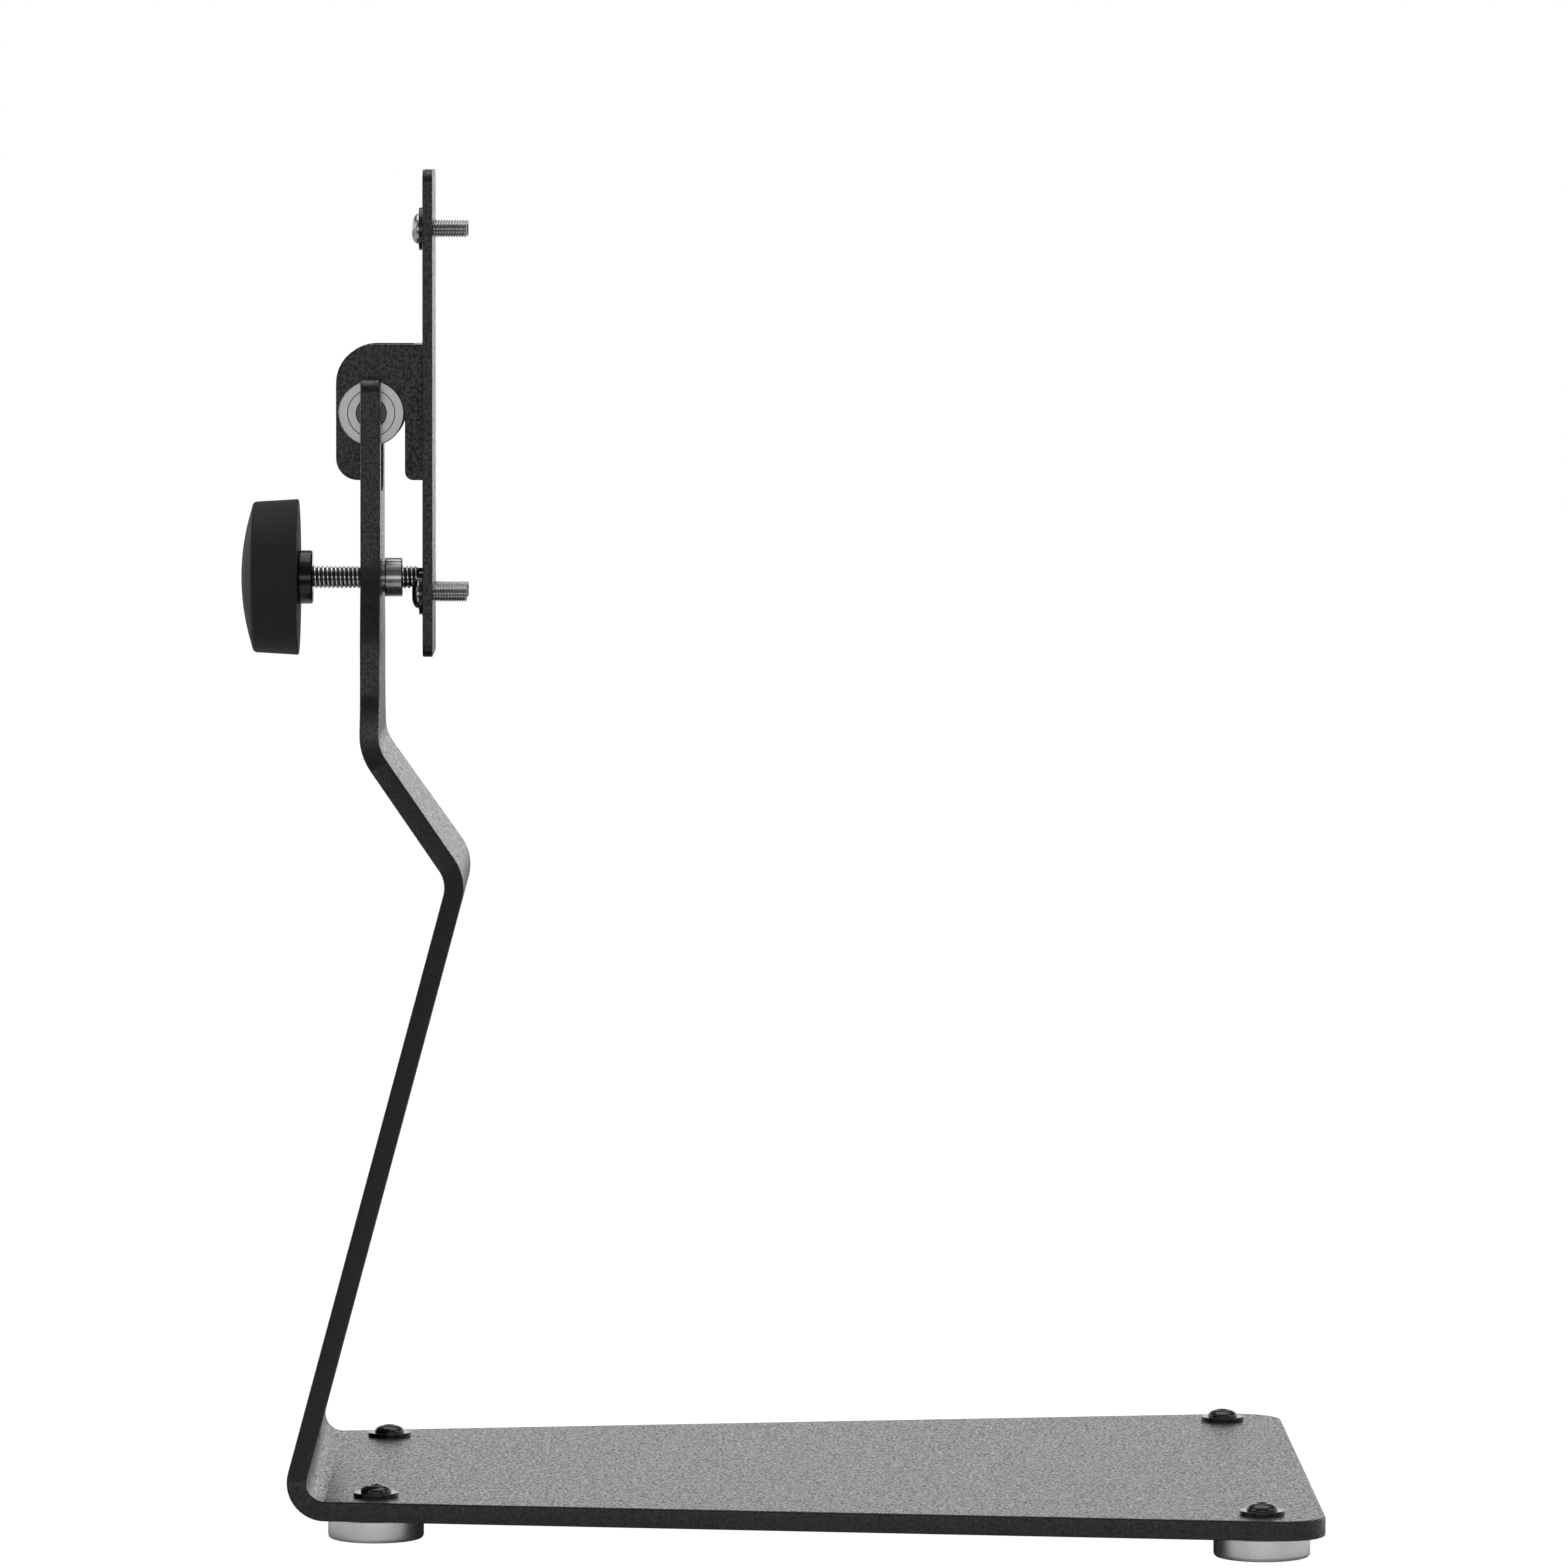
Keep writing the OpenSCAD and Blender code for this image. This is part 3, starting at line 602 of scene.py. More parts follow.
class Lathe:
    """Turns profiles about an axis."""

    steps: int = 72
    rounding_steps: int = 3
    weld: float = 1e-5
    thread_weld: float = 1e-4
    thread_depth: float = 0.46
    root_ends: float = 0.10
    crest_starts: float = 0.42
    crest_ends: float = 0.66
    spare_turns: int = 3

    @classmethod
    def turn(cls, rings: Sequence[Ring], closed: bool = False) -> BMesh:
        """Spin a profile about +Z and round its corners.

        Args:
            rings: The profile's corners in order.
            closed: True if the last corner joins the first, as on a washer.

        Returns:
            The turned shape.
        """
        bm = cls.profile([(r.radius, r.height) for r in rings], closed)
        bmesh.ops.spin(
            bm,
            geom=[*bm.verts, *bm.edges],
            axis=(0, 0, 1),
            cent=(0, 0, 0),
            angle=math.tau,
            steps=cls.steps,
            use_merge=True,
        )
        bmesh.ops.remove_doubles(bm, verts=bm.verts[:], dist=cls.weld)
        bmesh.ops.recalc_face_normals(bm, faces=bm.faces[:])
        for ring in rings:
            if ring.rounding > 0:
                cls.round_ring(bm, ring)
        return bm

    @staticmethod
    def profile(corners: Sequence[tuple[float, float]], closed: bool = False) -> BMesh:
        """Draw a profile in the XZ plane.

        Args:
            corners: The radius and height of each corner.
            closed: True if the last corner joins the first.

        Returns:
            The profile's points and edges.
        """
        bm = bmesh.new()
        points = [bm.verts.new((radius, 0.0, height)) for radius, height in corners]
        ends = [*points[1:], points[0]] if closed else points[1:]
        for first, second in zip(points, ends):
            bm.edges.new((first, second))
        return bm

    @classmethod
    def round_ring(cls, bm: BMesh, ring: Ring) -> None:
        """Round one circular edge.

        Args:
            bm: The turned shape.
            ring: The corner whose edge is rounded.
        """
        circle = [
            e
            for e in bm.edges
            if all(
                abs(math.hypot(v.co.x, v.co.y) - ring.radius) < NEAR
                and abs(v.co.z - ring.height) < NEAR
                for v in e.verts
            )
        ]
        Workshop.round_off(bm, circle, ring.rounding, cls.rounding_steps)

    @classmethod
    def thread(cls, radius: float, pitch: float, length: float, steps: int = 32) -> BMesh:
        """Cut a screw thread along +Z, between 0 and its length.

        Args:
            radius: The outer radius over the thread.
            pitch: The advance of one turn.
            length: The thread's length.
            steps: The steps of one turn.

        Returns:
            The closed threaded bar.
        """
        root = radius - cls.thread_depth * pitch
        turns = math.ceil(length / pitch) + cls.spare_turns
        below = cls.spare_turns / 2 * pitch
        outline = [
            (root, 0.0),
            (root, cls.root_ends * pitch),
            (radius, cls.crest_starts * pitch),
            (radius, cls.crest_ends * pitch),
            (root, pitch),
        ]
        bm = cls.profile([(r, z - below) for r, z in outline])
        bmesh.ops.spin(
            bm,
            geom=[*bm.verts, *bm.edges],
            axis=(0, 0, 1),
            cent=(0, 0, 0),
            dvec=(0, 0, pitch / steps),
            angle=math.tau * turns,
            steps=steps * turns,
        )
        bmesh.ops.remove_doubles(bm, verts=bm.verts[:], dist=cls.thread_weld)
        for height, side in ((0.0, -1), (length, 1)):
            cut = bmesh.ops.bisect_plane(
                bm,
                geom=[*bm.verts, *bm.edges, *bm.faces],
                plane_co=(0, 0, height),
                plane_no=(0, 0, side),
                clear_outer=True,
            )
            rim = [g for g in cut["geom_cut"] if isinstance(g, bmesh.types.BMEdge)]
            bmesh.ops.holes_fill(bm, edges=rim, sides=0)
        bmesh.ops.recalc_face_normals(bm, faces=bm.faces[:])
        return bm


class Workshop:
    """Small shapers that several pieces share."""

    on_line: float = 1e-4
    flat_normal: float = 0.5
    sharp_angle: float = 38.0

    @staticmethod
    def join(target: BMesh, *others: BMesh) -> BMesh:
        """Add other shapes to a shape.

        Args:
            target: The shape that grows.
            others: The shapes that are added and used up.

        Returns:
            The grown shape.
        """
        for other in others:
            carrier = bpy.data.meshes.new("carrier")
            other.to_mesh(carrier)
            other.free()
            target.from_mesh(carrier)
            bpy.data.meshes.remove(carrier)
        return target

    @staticmethod
    def rectangle(half_x: float, half_y: float) -> BMesh:
        """Cut a flat rectangular blank around zero."""
        bm = bmesh.new()
        bmesh.ops.create_grid(bm, x_segments=1, y_segments=1, size=1.0)
        bmesh.ops.scale(bm, vec=(half_x, half_y, 1.0), verts=bm.verts[:])
        return bm

    @staticmethod
    def outlined(outline: Sequence[tuple[float, float]]) -> BMesh:
        """Cut a flat blank along an outline of X and Y places."""
        bm = bmesh.new()
        bm.faces.new([bm.verts.new((x, y, 0.0)) for x, y in outline])
        return bm

    @staticmethod
    def round_off(
        bm: BMesh, geom: Sequence[bmesh.types.BMElem], size: float, steps: int, at: str = "EDGES"
    ) -> None:
        """Round edges, or points of a flat blank.

        Args:
            bm: The shape.
            geom: The edges or points.
            size: The rounding's radius or tangent length.
            steps: The steps of the rounding.
            at: "EDGES" or "VERTICES".
        """
        bmesh.ops.bevel(
            bm,
            geom=geom,
            offset=size,
            offset_type="OFFSET",
            segments=steps,
            profile=0.5,
            affect=at,
            material=-1,
            clamp_overlap=False,
            loop_slide=at == "EDGES",
        )

    @classmethod
    def corner(cls, bm: BMesh, at: tuple[float, float], reach: float, steps: int = 8) -> None:
        """Round one corner of a flat blank, or open a round hole at a crossing.

        Args:
            bm: The flat blank in its XY plane.
            at: The corner or crossing.
            reach: The corner's tangent length, or the hole's radius.
            steps: The steps of each quarter.
        """
        near = [v for v in bm.verts if (v.co.xy - Vector(at)).length < NEAR]
        cls.round_off(bm, near, reach, steps, "VERTICES")

    @classmethod
    def hole(cls, bm: BMesh, at: tuple[float, float], radius: float) -> None:
        """Punch a round hole into a flat blank.

        Args:
            bm: The flat blank in its XY plane.
            at: The hole's centre.
            radius: The hole's radius.
        """
        cls.crease(bm, 0, at[0])
        cls.crease(bm, 1, at[1])
        cls.corner(bm, at, radius, 6)
        middle = Vector((*at, 0.0))
        inside = [
            f for f in bm.faces if all((v.co - middle).length < radius + NEAR for v in f.verts)
        ]
        bmesh.ops.delete(bm, geom=inside, context="FACES_ONLY")
        bmesh.ops.delete(bm, geom=[e for e in bm.edges if not e.link_faces], context="EDGES")

    @classmethod
    def crease(cls, bm: BMesh, axis: int, value: float) -> None:
        """Cut a flat blank along a straight line and keep both sides.

        Args:
            bm: The blank.
            axis: 0 for a line at one X, 1 for a line at one Y.
            value: The line's place.
        """
        point, normal = Vector((0, 0, 0)), Vector((0, 0, 0))
        point[axis], normal[axis] = value, 1.0
        bmesh.ops.bisect_plane(
            bm,
            geom=[*bm.verts, *bm.edges, *bm.faces],
            plane_co=point,
            plane_no=normal,
            dist=cls.on_line,
        )

    @classmethod
    def thicken(cls, bm: BMesh, thickness: float, edge: float) -> None:
        """Give a flat blank its thickness, centred on it, and round its rims.

        Args:
            bm: The flat blank in its XY plane.
            thickness: The sheet's thickness.
            edge: Radius of the rounded rims.
        """
        for face in bm.faces:
            if face.normal.z < 0:
                face.normal_flip()
        lower = bm.verts[:]
        made = bmesh.ops.extrude_face_region(bm, geom=bm.faces[:], use_keep_orig=True)
        upper = [g for g in made["geom"] if isinstance(g, bmesh.types.BMVert)]
        bmesh.ops.translate(bm, vec=(0, 0, thickness), verts=upper)
        bmesh.ops.translate(bm, vec=(0, 0, -thickness / 2), verts=[*lower, *upper])
        bmesh.ops.recalc_face_normals(bm, faces=bm.faces[:])
        rims = []
        for line in bm.edges:
            slopes = [abs(face.normal.z) for face in line.link_faces]
            if len(slopes) == 2 and min(slopes) < cls.flat_normal < max(slopes):
                rims.append(line)
        cls.round_off(bm, rims, edge, 2)

    @staticmethod
    def bend(bm: BMesh, path: Callable[[Vector], Vector]) -> None:
        """Move every point of a flat sheet to its place on the folded one.

        Args:
            bm: The flat sheet.
            path: Gives the folded place of a flat point.
        """
        for vert in bm.verts:
            vert.co = path(vert.co)
        bmesh.ops.recalc_face_normals(bm, faces=bm.faces[:])

    @staticmethod
    def place(bm: BMesh, turn: Matrix, at: Vector) -> None:
        """Turn a shape and then move it to its place in millimetres."""
        bmesh.ops.transform(bm, matrix=Matrix.Translation(at) @ turn, verts=bm.verts[:])

    @staticmethod
    def hand_over(
        bm: BMesh, name: str, body: Body, finish: Finish, nodes: Iterable[str]
    ) -> bpy.types.Object:
        """Make a shape a finished piece of the stand.

        Args:
            bm: The shape in millimetres, in its place.
            name: The piece's name.
            body: The body that it rides on.
            finish: Its finish.
            nodes: The solids that it stands for.

        Returns:
            The piece.
        """
        bmesh.ops.scale(bm, vec=(MM, MM, MM), verts=bm.verts[:])
        mesh = bpy.data.meshes.new(name)
        for face in bm.faces:
            face.smooth = True
        bm.to_mesh(mesh)
        bm.free()
        mesh.set_sharp_from_angle(angle=math.radians(Workshop.sharp_angle))
        mesh.materials.append(finish.material())
        piece = bpy.data.objects.new(name, mesh)
        bpy.context.scene.collection.objects.link(piece)
        weighted = piece.modifiers.new("flat_faces_stay_flat", "WEIGHTED_NORMAL")
        weighted.keep_sharp = True
        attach(piece, body.value)
        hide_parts(*nodes)
        LOG.info("%s: %d faces, rides on %s", name, len(mesh.polygons), body.value)
        return piece


class Billet:
    """The place and size of one turned solid, along the way that it faces."""

    def __init__(self, node: str, facing: Facing) -> None:
        """Measure the solid.

        Args:
            node: The solid's name.
            facing: The way that its upper end faces.
        """
        low, high = box_mm(node)
        self.along = Vector(facing.value)
        self.node, self.facing, self.size = node, facing, high - low
        self.length = abs(self.size.dot(self.along))
        self.radius = (self.size.z if self.along.x else self.size.x) / 2
        self.lower_end = (low + high) / 2 - self.along * self.length / 2

    def hand_over(
        self, bm: BMesh, name: str, body: Body, finish: Finish, lift: float = 0.0
    ) -> None:
        """Set a turned shape down in the solid's place and make it a piece.

        Args:
            bm: The shape about +Z.
            name: The piece's name.
            body: The body that it rides on.
            finish: Its finish.
            lift: Height of the shape's zero over the solid's lower end.
        """
        layer = bm.verts.layers.float_vector.new("turned")
        for vert in bm.verts:
            vert[layer] = (math.hypot(vert.co.x, vert.co.y), vert.co.z, 0.0)
        Workshop.place(bm, self.facing.turn(), self.lower_end + self.along * lift)
        Workshop.hand_over(bm, name, body, finish, [self.node])


@dataclass
class Stretch:
    """One stretch of the sheet's middle line in its side view.

    Attributes:
        start: Place along the developed sheet.
        length: The stretch's length.
        point: Where it starts, as X and Z.
        heading: Its direction at the start in degrees from +X.
        turn: How far it turns, in degrees; 0 on a flat stretch.
    """

    start: float
    length: float
    point: Vector
    heading: float
    turn: float = 0.0

    def at(self, along: float) -> tuple[Vector, float]:
        """Return the middle line's place and heading.

        Args:
            along: Distance from the stretch's start.

        Returns:
            The place as X and Z, and the heading in radians.
        """
        start = math.radians(self.heading)
        if not self.turn:
            return self.point + Vector((math.cos(start), math.sin(start))) * along, start
        turn = math.radians(self.turn)
        radius = self.length / turn
        heading = start + turn * along / self.length
        centre = self.point + Vector((-math.sin(start), math.cos(start))) * radius
        return centre + Vector((math.sin(heading), -math.cos(heading))) * radius, heading

    def stations(self) -> list[float]:
        """Return the developed lengths of its creases, the last one at its end."""
        steps = max(1, round(abs(self.turn) / CREASE_TURN))
        return [self.start + self.length * i / steps for i in range(1, steps + 1)]


@dataclass
class SheetFrame:
    """The base, the two legs and the fork, folded from one steel sheet."""

    thickness: float = 5.8
    post_setback: float = 278.1
    front_half_width: float = 125.8
    bend_half_width: float = 82.0
    front_corner: float = 13.7
    bend_reach: float = 22.9
    bottom_radius: float = 5.5
    middle_radius: float = 8.5
    upper_radius: float = 12.5
    lower_lean: float = 15.0
    middle_lean: float = 35.0
    upper_bend_height: float = 228.9
    shoulder: tuple[float, float] = (222.0, 246.0)
    neck: tuple[float, float] = (257.0, 286.0)
    shoulder_half: float = 43.5
    neck_half: float = 31.5
    fork_half: float = 25.6
    prong_corner: float = 4.0
    slot_mouth: float = 0.6
    slot_half: float = 13.1
    slot_corner: float = 3.0
    slot_bottom: float = 304.0
    rim: float = 0.6
    screw_hole: float = 2.7
    bushing_hole: float = 4.83
    easing_steps: int = 12
    row_gap: float = 0.6
    search_rounds: int = 40
    stretches: list[Stretch] = field(default_factory=list)

    def __post_init__(self) -> None:
        """Lay out the middle line from the solid's place."""
        low, high = box_mm("stand_frame")
        self.front_x, self.under, self.top = high.x, low.z, high.z
        self.post_x = self.front_x - self.post_setback
        self.lay_out()

    def lay_out(self) -> None:
        """Find every stretch of the middle line, from the front edge to the prongs."""
        half = self.thickness / 2
        lean, slope = math.radians(self.lower_lean), math.radians(self.middle_lean)
        bend_x = self.post_x - self.bend_reach + self.bottom_radius + self.thickness
        self.bend_z = self.under + self.thickness + self.bottom_radius
        radii = [r + half for r in (self.bottom_radius, self.middle_radius, self.upper_radius)]
        leg = Vector((math.sin(lean), math.cos(lean)))
        short = Vector((-math.sin(slope), math.cos(slope)))
        leg_start = Vector((bend_x - radii[0] * leg.y, self.bend_z + radii[0] * leg.x))
        goal = Vector((self.post_x, self.upper_bend_height))
        gap = goal - leg_start
        cross = leg.x * short.y - leg.y * short.x
        leg_length = (gap.x * short.y - gap.y * short.x) / cross
        corner = leg_start + leg * leg_length
        middle_back = radii[1] * math.tan((lean + slope) / 2)
        upper_back = radii[2] * math.tan(slope / 2)
        plan = [
            (self.front_x - bend_x, 0.0),
            (radii[0] * (math.pi / 2 + lean), -90.0 - self.lower_lean),
            (leg_length - middle_back, 0.0),
            (radii[1] * (lean + slope), self.lower_lean + self.middle_lean),
            ((goal - corner).length - middle_back - upper_back, 0.0),
            (radii[2] * slope, -self.middle_lean),
            (self.top - self.upper_bend_height - upper_back, 0.0),
        ]
        start, point, heading = 0.0, Vector((self.front_x, self.under + half)), 180.0
        for length, turn in plan:
            stretch = Stretch(start, length, point, heading, turn)
            self.stretches.append(stretch)
            point = stretch.at(length)[0]
            start, heading = start + length, heading + turn
        self.end = start

    def middle(self, s: float) -> tuple[Vector, float]:
        """Return the middle line's place and heading at a developed length."""
        stretch = next((t for t in self.stretches if s <= t.start + t.length), self.stretches[-1])
        return stretch.at(s - stretch.start)

    def folded(self, flat: Vector) -> Vector:
        """Return the folded place of a point of the flat sheet."""
        point, heading = self.middle(flat.x)
        return Vector(
            (
                point.x + math.sin(heading) * flat.z,
                flat.y,
                point.y - math.cos(heading) * flat.z,
            )
        )

    def developed(self, z: float) -> float:
        """Return where on the developed post a height lies."""
        return self.end - (self.top - z)

    def half_width(self, s: float) -> float:
        """Return half of the sheet's width at a developed length."""
        base = self.stretches[0].length
        if s <= base:
            share = s / base
            return self.front_half_width + (self.bend_half_width - self.front_half_width) * share
        z = self.middle(s)[0].y
        if z < self.shoulder[0]:
            share = max(0.0, z - self.bend_z) / (self.shoulder[0] - self.bend_z)
            return self.bend_half_width + (self.shoulder_half - self.bend_half_width) * share

        def ease(low: float, high: float) -> float:
            """Return a smooth step from low to high at this height."""
            return (1 - math.cos(math.pi * min(1.0, max(0.0, (z - low) / (high - low))))) / 2

        return (
            self.shoulder_half
            + (self.neck_half - self.shoulder_half) * ease(*self.shoulder)
            + (self.fork_half - self.neck_half) * ease(*self.neck)
        )

    def rows(self) -> list[float]:
        """Return the developed lengths at which the outline has a corner."""
        found = [0.0]
        for stretch in self.stretches[:-1]:
            found += stretch.stations()
        upper = found[-1]
        for low, high in (self.shoulder, self.neck):
            steps = self.easing_steps
            found += [self.at_height(low + (high - low) * i / steps) for i in range(steps + 1)]
        found = sorted(found)
        kept = [found[0]]
        for s in found[1:]:
            if s - kept[-1] > self.row_gap or s == upper:
                kept.append(s)
        return kept

    def at_height(self, z: float) -> float:
        """Return the developed length at which the middle line reaches a height."""
        low, high = self.stretches[1].start, self.end
        for _ in range(self.search_rounds):
            between = (low + high) / 2
            if self.middle(between)[0].y < z:
                low = between
            else:
                high = between
        return (low + high) / 2

    def blank(self) -> BMesh:
        """Cut the flat blank with its slot and holes, and crease it at every bend."""
        slot = self.developed(self.slot_bottom)
        side = [(s, self.half_width(s)) for s in self.rows()] + [(self.end, self.fork_half)]
        fork = [(self.end, self.slot_half), (slot, self.slot_half)]
        right = [*side, *fork]
        bm = Workshop.outlined(right + [(s, -y) for s, y in reversed(right)])
        slope = math.atan2(self.front_half_width - self.bend_half_width, self.stretches[0].length)
        reach = self.front_corner / math.tan((math.pi / 2 - slope) / 2)
        for way in (1, -1):
            Workshop.corner(bm, (0.0, way * self.front_half_width), reach, 10)
            Workshop.corner(bm, (self.end, way * self.fork_half), self.prong_corner)
            Workshop.corner(bm, (self.end, way * self.slot_half), self.slot_mouth, 2)
            Workshop.corner(bm, (slot, way * self.slot_half), self.slot_corner, 6)
        for stretch in self.stretches[:-1]:
            for s in stretch.stations():
                Workshop.crease(bm, 0, s)
        for place in FOOT_PLACES:
            middle = middle_mm(f"foot_screw_{place}")
            Workshop.hole(bm, (self.front_x - middle.x, middle.y), self.screw_hole)
        height = middle_mm("rod_bushing").z
        Workshop.hole(bm, (self.developed(height), 0.0), self.bushing_hole)
        return bm

    def build(self) -> None:
        """Cut, thicken and fold the sheet."""
        bm = self.blank()
        Workshop.thicken(bm, self.thickness, self.rim)
        Workshop.bend(bm, self.folded)
        Workshop.hand_over(bm, "sheet_frame", Body.STAND, PowderCoat(), ["stand_frame"])


@dataclass
class ButtonScrew:
    """A button head screw with a hex socket and a washer under its head."""

    node: str
    washer_node: str
    body: Body
    facing: Facing
    finish: Finish
    threaded: bool = False
    head_radius: float = 4.5
    head_height: float = 2.4
    rim_height: float = 0.4
    under_width: float = 0.25
    under_height: float = 0.2
    fullness: float = 0.8
    dome_steps: int = 10
    socket_across: float = 3.0
    socket_depth: float = 1.3
    lead_width: float = 0.18
    lead_depth: float = 0.24
    shank_radius: float = 2.5
    tip_edge: float = 0.4
    pitch: float = 0.8
    thread_steps: int = 24
    thread_play: float = 0.02
    washer_play: float = 0.2
    washer_edge: float = 0.12
    washer_bore_edge: float = 0.1

    def head(self) -> BMesh:
        """Turn the domed head and press the hex socket into it."""
        rise = self.head_height - self.rim_height
        apothem = self.socket_across / 2
        mouth = apothem / math.cos(math.pi / 6) + self.lead_width
        last = math.acos((mouth / self.head_radius) ** (1 / self.fullness))
        rings = [
            Ring(0.0, 0.0),
            Ring(self.head_radius - self.under_width, 0.0),
            Ring(self.head_radius, self.under_height),
        ]
        for i in range(self.dome_steps + 1):
            angle = last * i / self.dome_steps
            radius = self.head_radius * math.cos(angle) ** self.fullness
            rings.append(Ring(radius, self.rim_height + rise * math.sin(angle)))
        bm = Lathe.turn(rings)
        for vert in self.lower(bm, self.head_height - self.lead_depth):
            angle = math.atan2(vert.co.y, vert.co.x)
            part = (angle + math.pi / 6) % (math.pi / 3) - math.pi / 6
            reach = apothem / math.cos(part)
            vert.co.x, vert.co.y = reach * math.cos(angle), reach * math.sin(angle)
        self.lower(bm, self.head_height - self.socket_depth)
        bmesh.ops.holes_fill(bm, edges=[e for e in bm.edges if e.is_boundary], sides=0)
        bmesh.ops.recalc_face_normals(bm, faces=bm.faces[:])
        return bm

    @staticmethod
    def lower(bm: BMesh, height: float) -> list[bmesh.types.BMVert]:
        """Draw the open rim of the head down to a height.

        Args:
            bm: The head.
            height: Where the new rim lies.

        Returns:
            The new rim's points.
        """
        rim = [e for e in bm.edges if e.is_boundary]
        made = bmesh.ops.extrude_edge_only(bm, edges=rim)
        points = [g for g in made["geom"] if isinstance(g, bmesh.types.BMVert)]
        for vert in points:
            vert.co.z = height
        return points

    def shank(self, reach: float) -> BMesh:
        """Make the shank below the head.

        Args:
            reach: The shank's length.

        Returns:
            The shank, from its tip at minus the reach up to the head's seat.
        """
        r = self.shank_radius
        if self.threaded:
            bm = Lathe.thread(r - self.thread_play, self.pitch, reach, self.thread_steps)
        else:
            bm = Lathe.turn(
                [Ring(0.0, 0.0), Ring(r, 0.0, self.tip_edge), Ring(r, reach), Ring(0.0, reach)]
            )
        bmesh.ops.translate(bm, vec=(0, 0, -reach), verts=bm.verts[:])
        return bm

    def washer(self) -> None:
        """Turn the washer in its solid's place."""
        billet = Billet(self.washer_node, self.facing)
        outer = max(billet.size) / 2
        inner = self.shank_radius + self.washer_play
        bm = Lathe.turn(
            [
                Ring(inner, 0.0),
                Ring(outer, 0.0, self.washer_edge),
                Ring(outer, billet.length, self.washer_edge),
                Ring(inner, billet.length, self.washer_bore_edge),
            ],
            closed=True,
        )
        billet.hand_over(bm, f"{self.washer_node}_turned", self.body, BlackSteel())

    def build(self) -> None:
        """Make the screw and its washer."""
        billet = Billet(self.node, self.facing)
        reach = billet.length - self.head_height
        bm = Workshop.join(self.head(), self.shank(reach))
        billet.hand_over(bm, f"{self.node}_turned", self.body, self.finish, reach)
        self.washer()


@dataclass
class Foot:
    """A turned foot with its soft pad and the screw that holds it."""

    place: str
    edge: float = 1.2
    upper_edge: float = 0.35
    bore: float = 2.53
    recess_radius: float = 10.7
    recess_depth: float = 1.2
    recess_edge: float = 0.2
    pad_edge: float = 0.3
    pad_upper_edge: float = 0.1

    def turned_foot(self) -> None:
        """Turn the foot with its recess and bore."""
        billet = Billet(f"foot_{self.place}", Facing.UP)
        bm = Lathe.turn(
            [
                Ring(self.bore, self.recess_depth),
                Ring(self.recess_radius, self.recess_depth),
                Ring(self.recess_radius, 0.0, self.recess_edge),
                Ring(billet.radius, 0.0, self.edge),
                Ring(billet.radius, billet.length, self.upper_edge),
                Ring(self.bore, billet.length),
            ],
            closed=True,
        )
        billet.hand_over(bm, f"{billet.node}_turned", Body.STAND, SatinAluminium())

    def pad(self) -> None:
        """Cut the soft pad."""
        billet = Billet(f"foot_pad_{self.place}", Facing.UP)
        bm = Lathe.turn(
            [
                Ring(0.0, 0.0),
                Ring(billet.radius, 0.0, self.pad_edge),
                Ring(billet.radius, billet.length, self.pad_upper_edge),
                Ring(0.0, billet.length),
            ]
        )
        billet.hand_over(bm, f"{billet.node}_cut", Body.STAND, SoftPad())

    def build(self) -> None:
        """Make the foot, its pad, its screw and its washer."""
        self.turned_foot()
        self.pad()
        ButtonScrew(
            f"foot_screw_{self.place}",
            f"foot_washer_{self.place}",
            Body.STAND,
            Facing.UP,
            BlackSteel(),
        ).build()


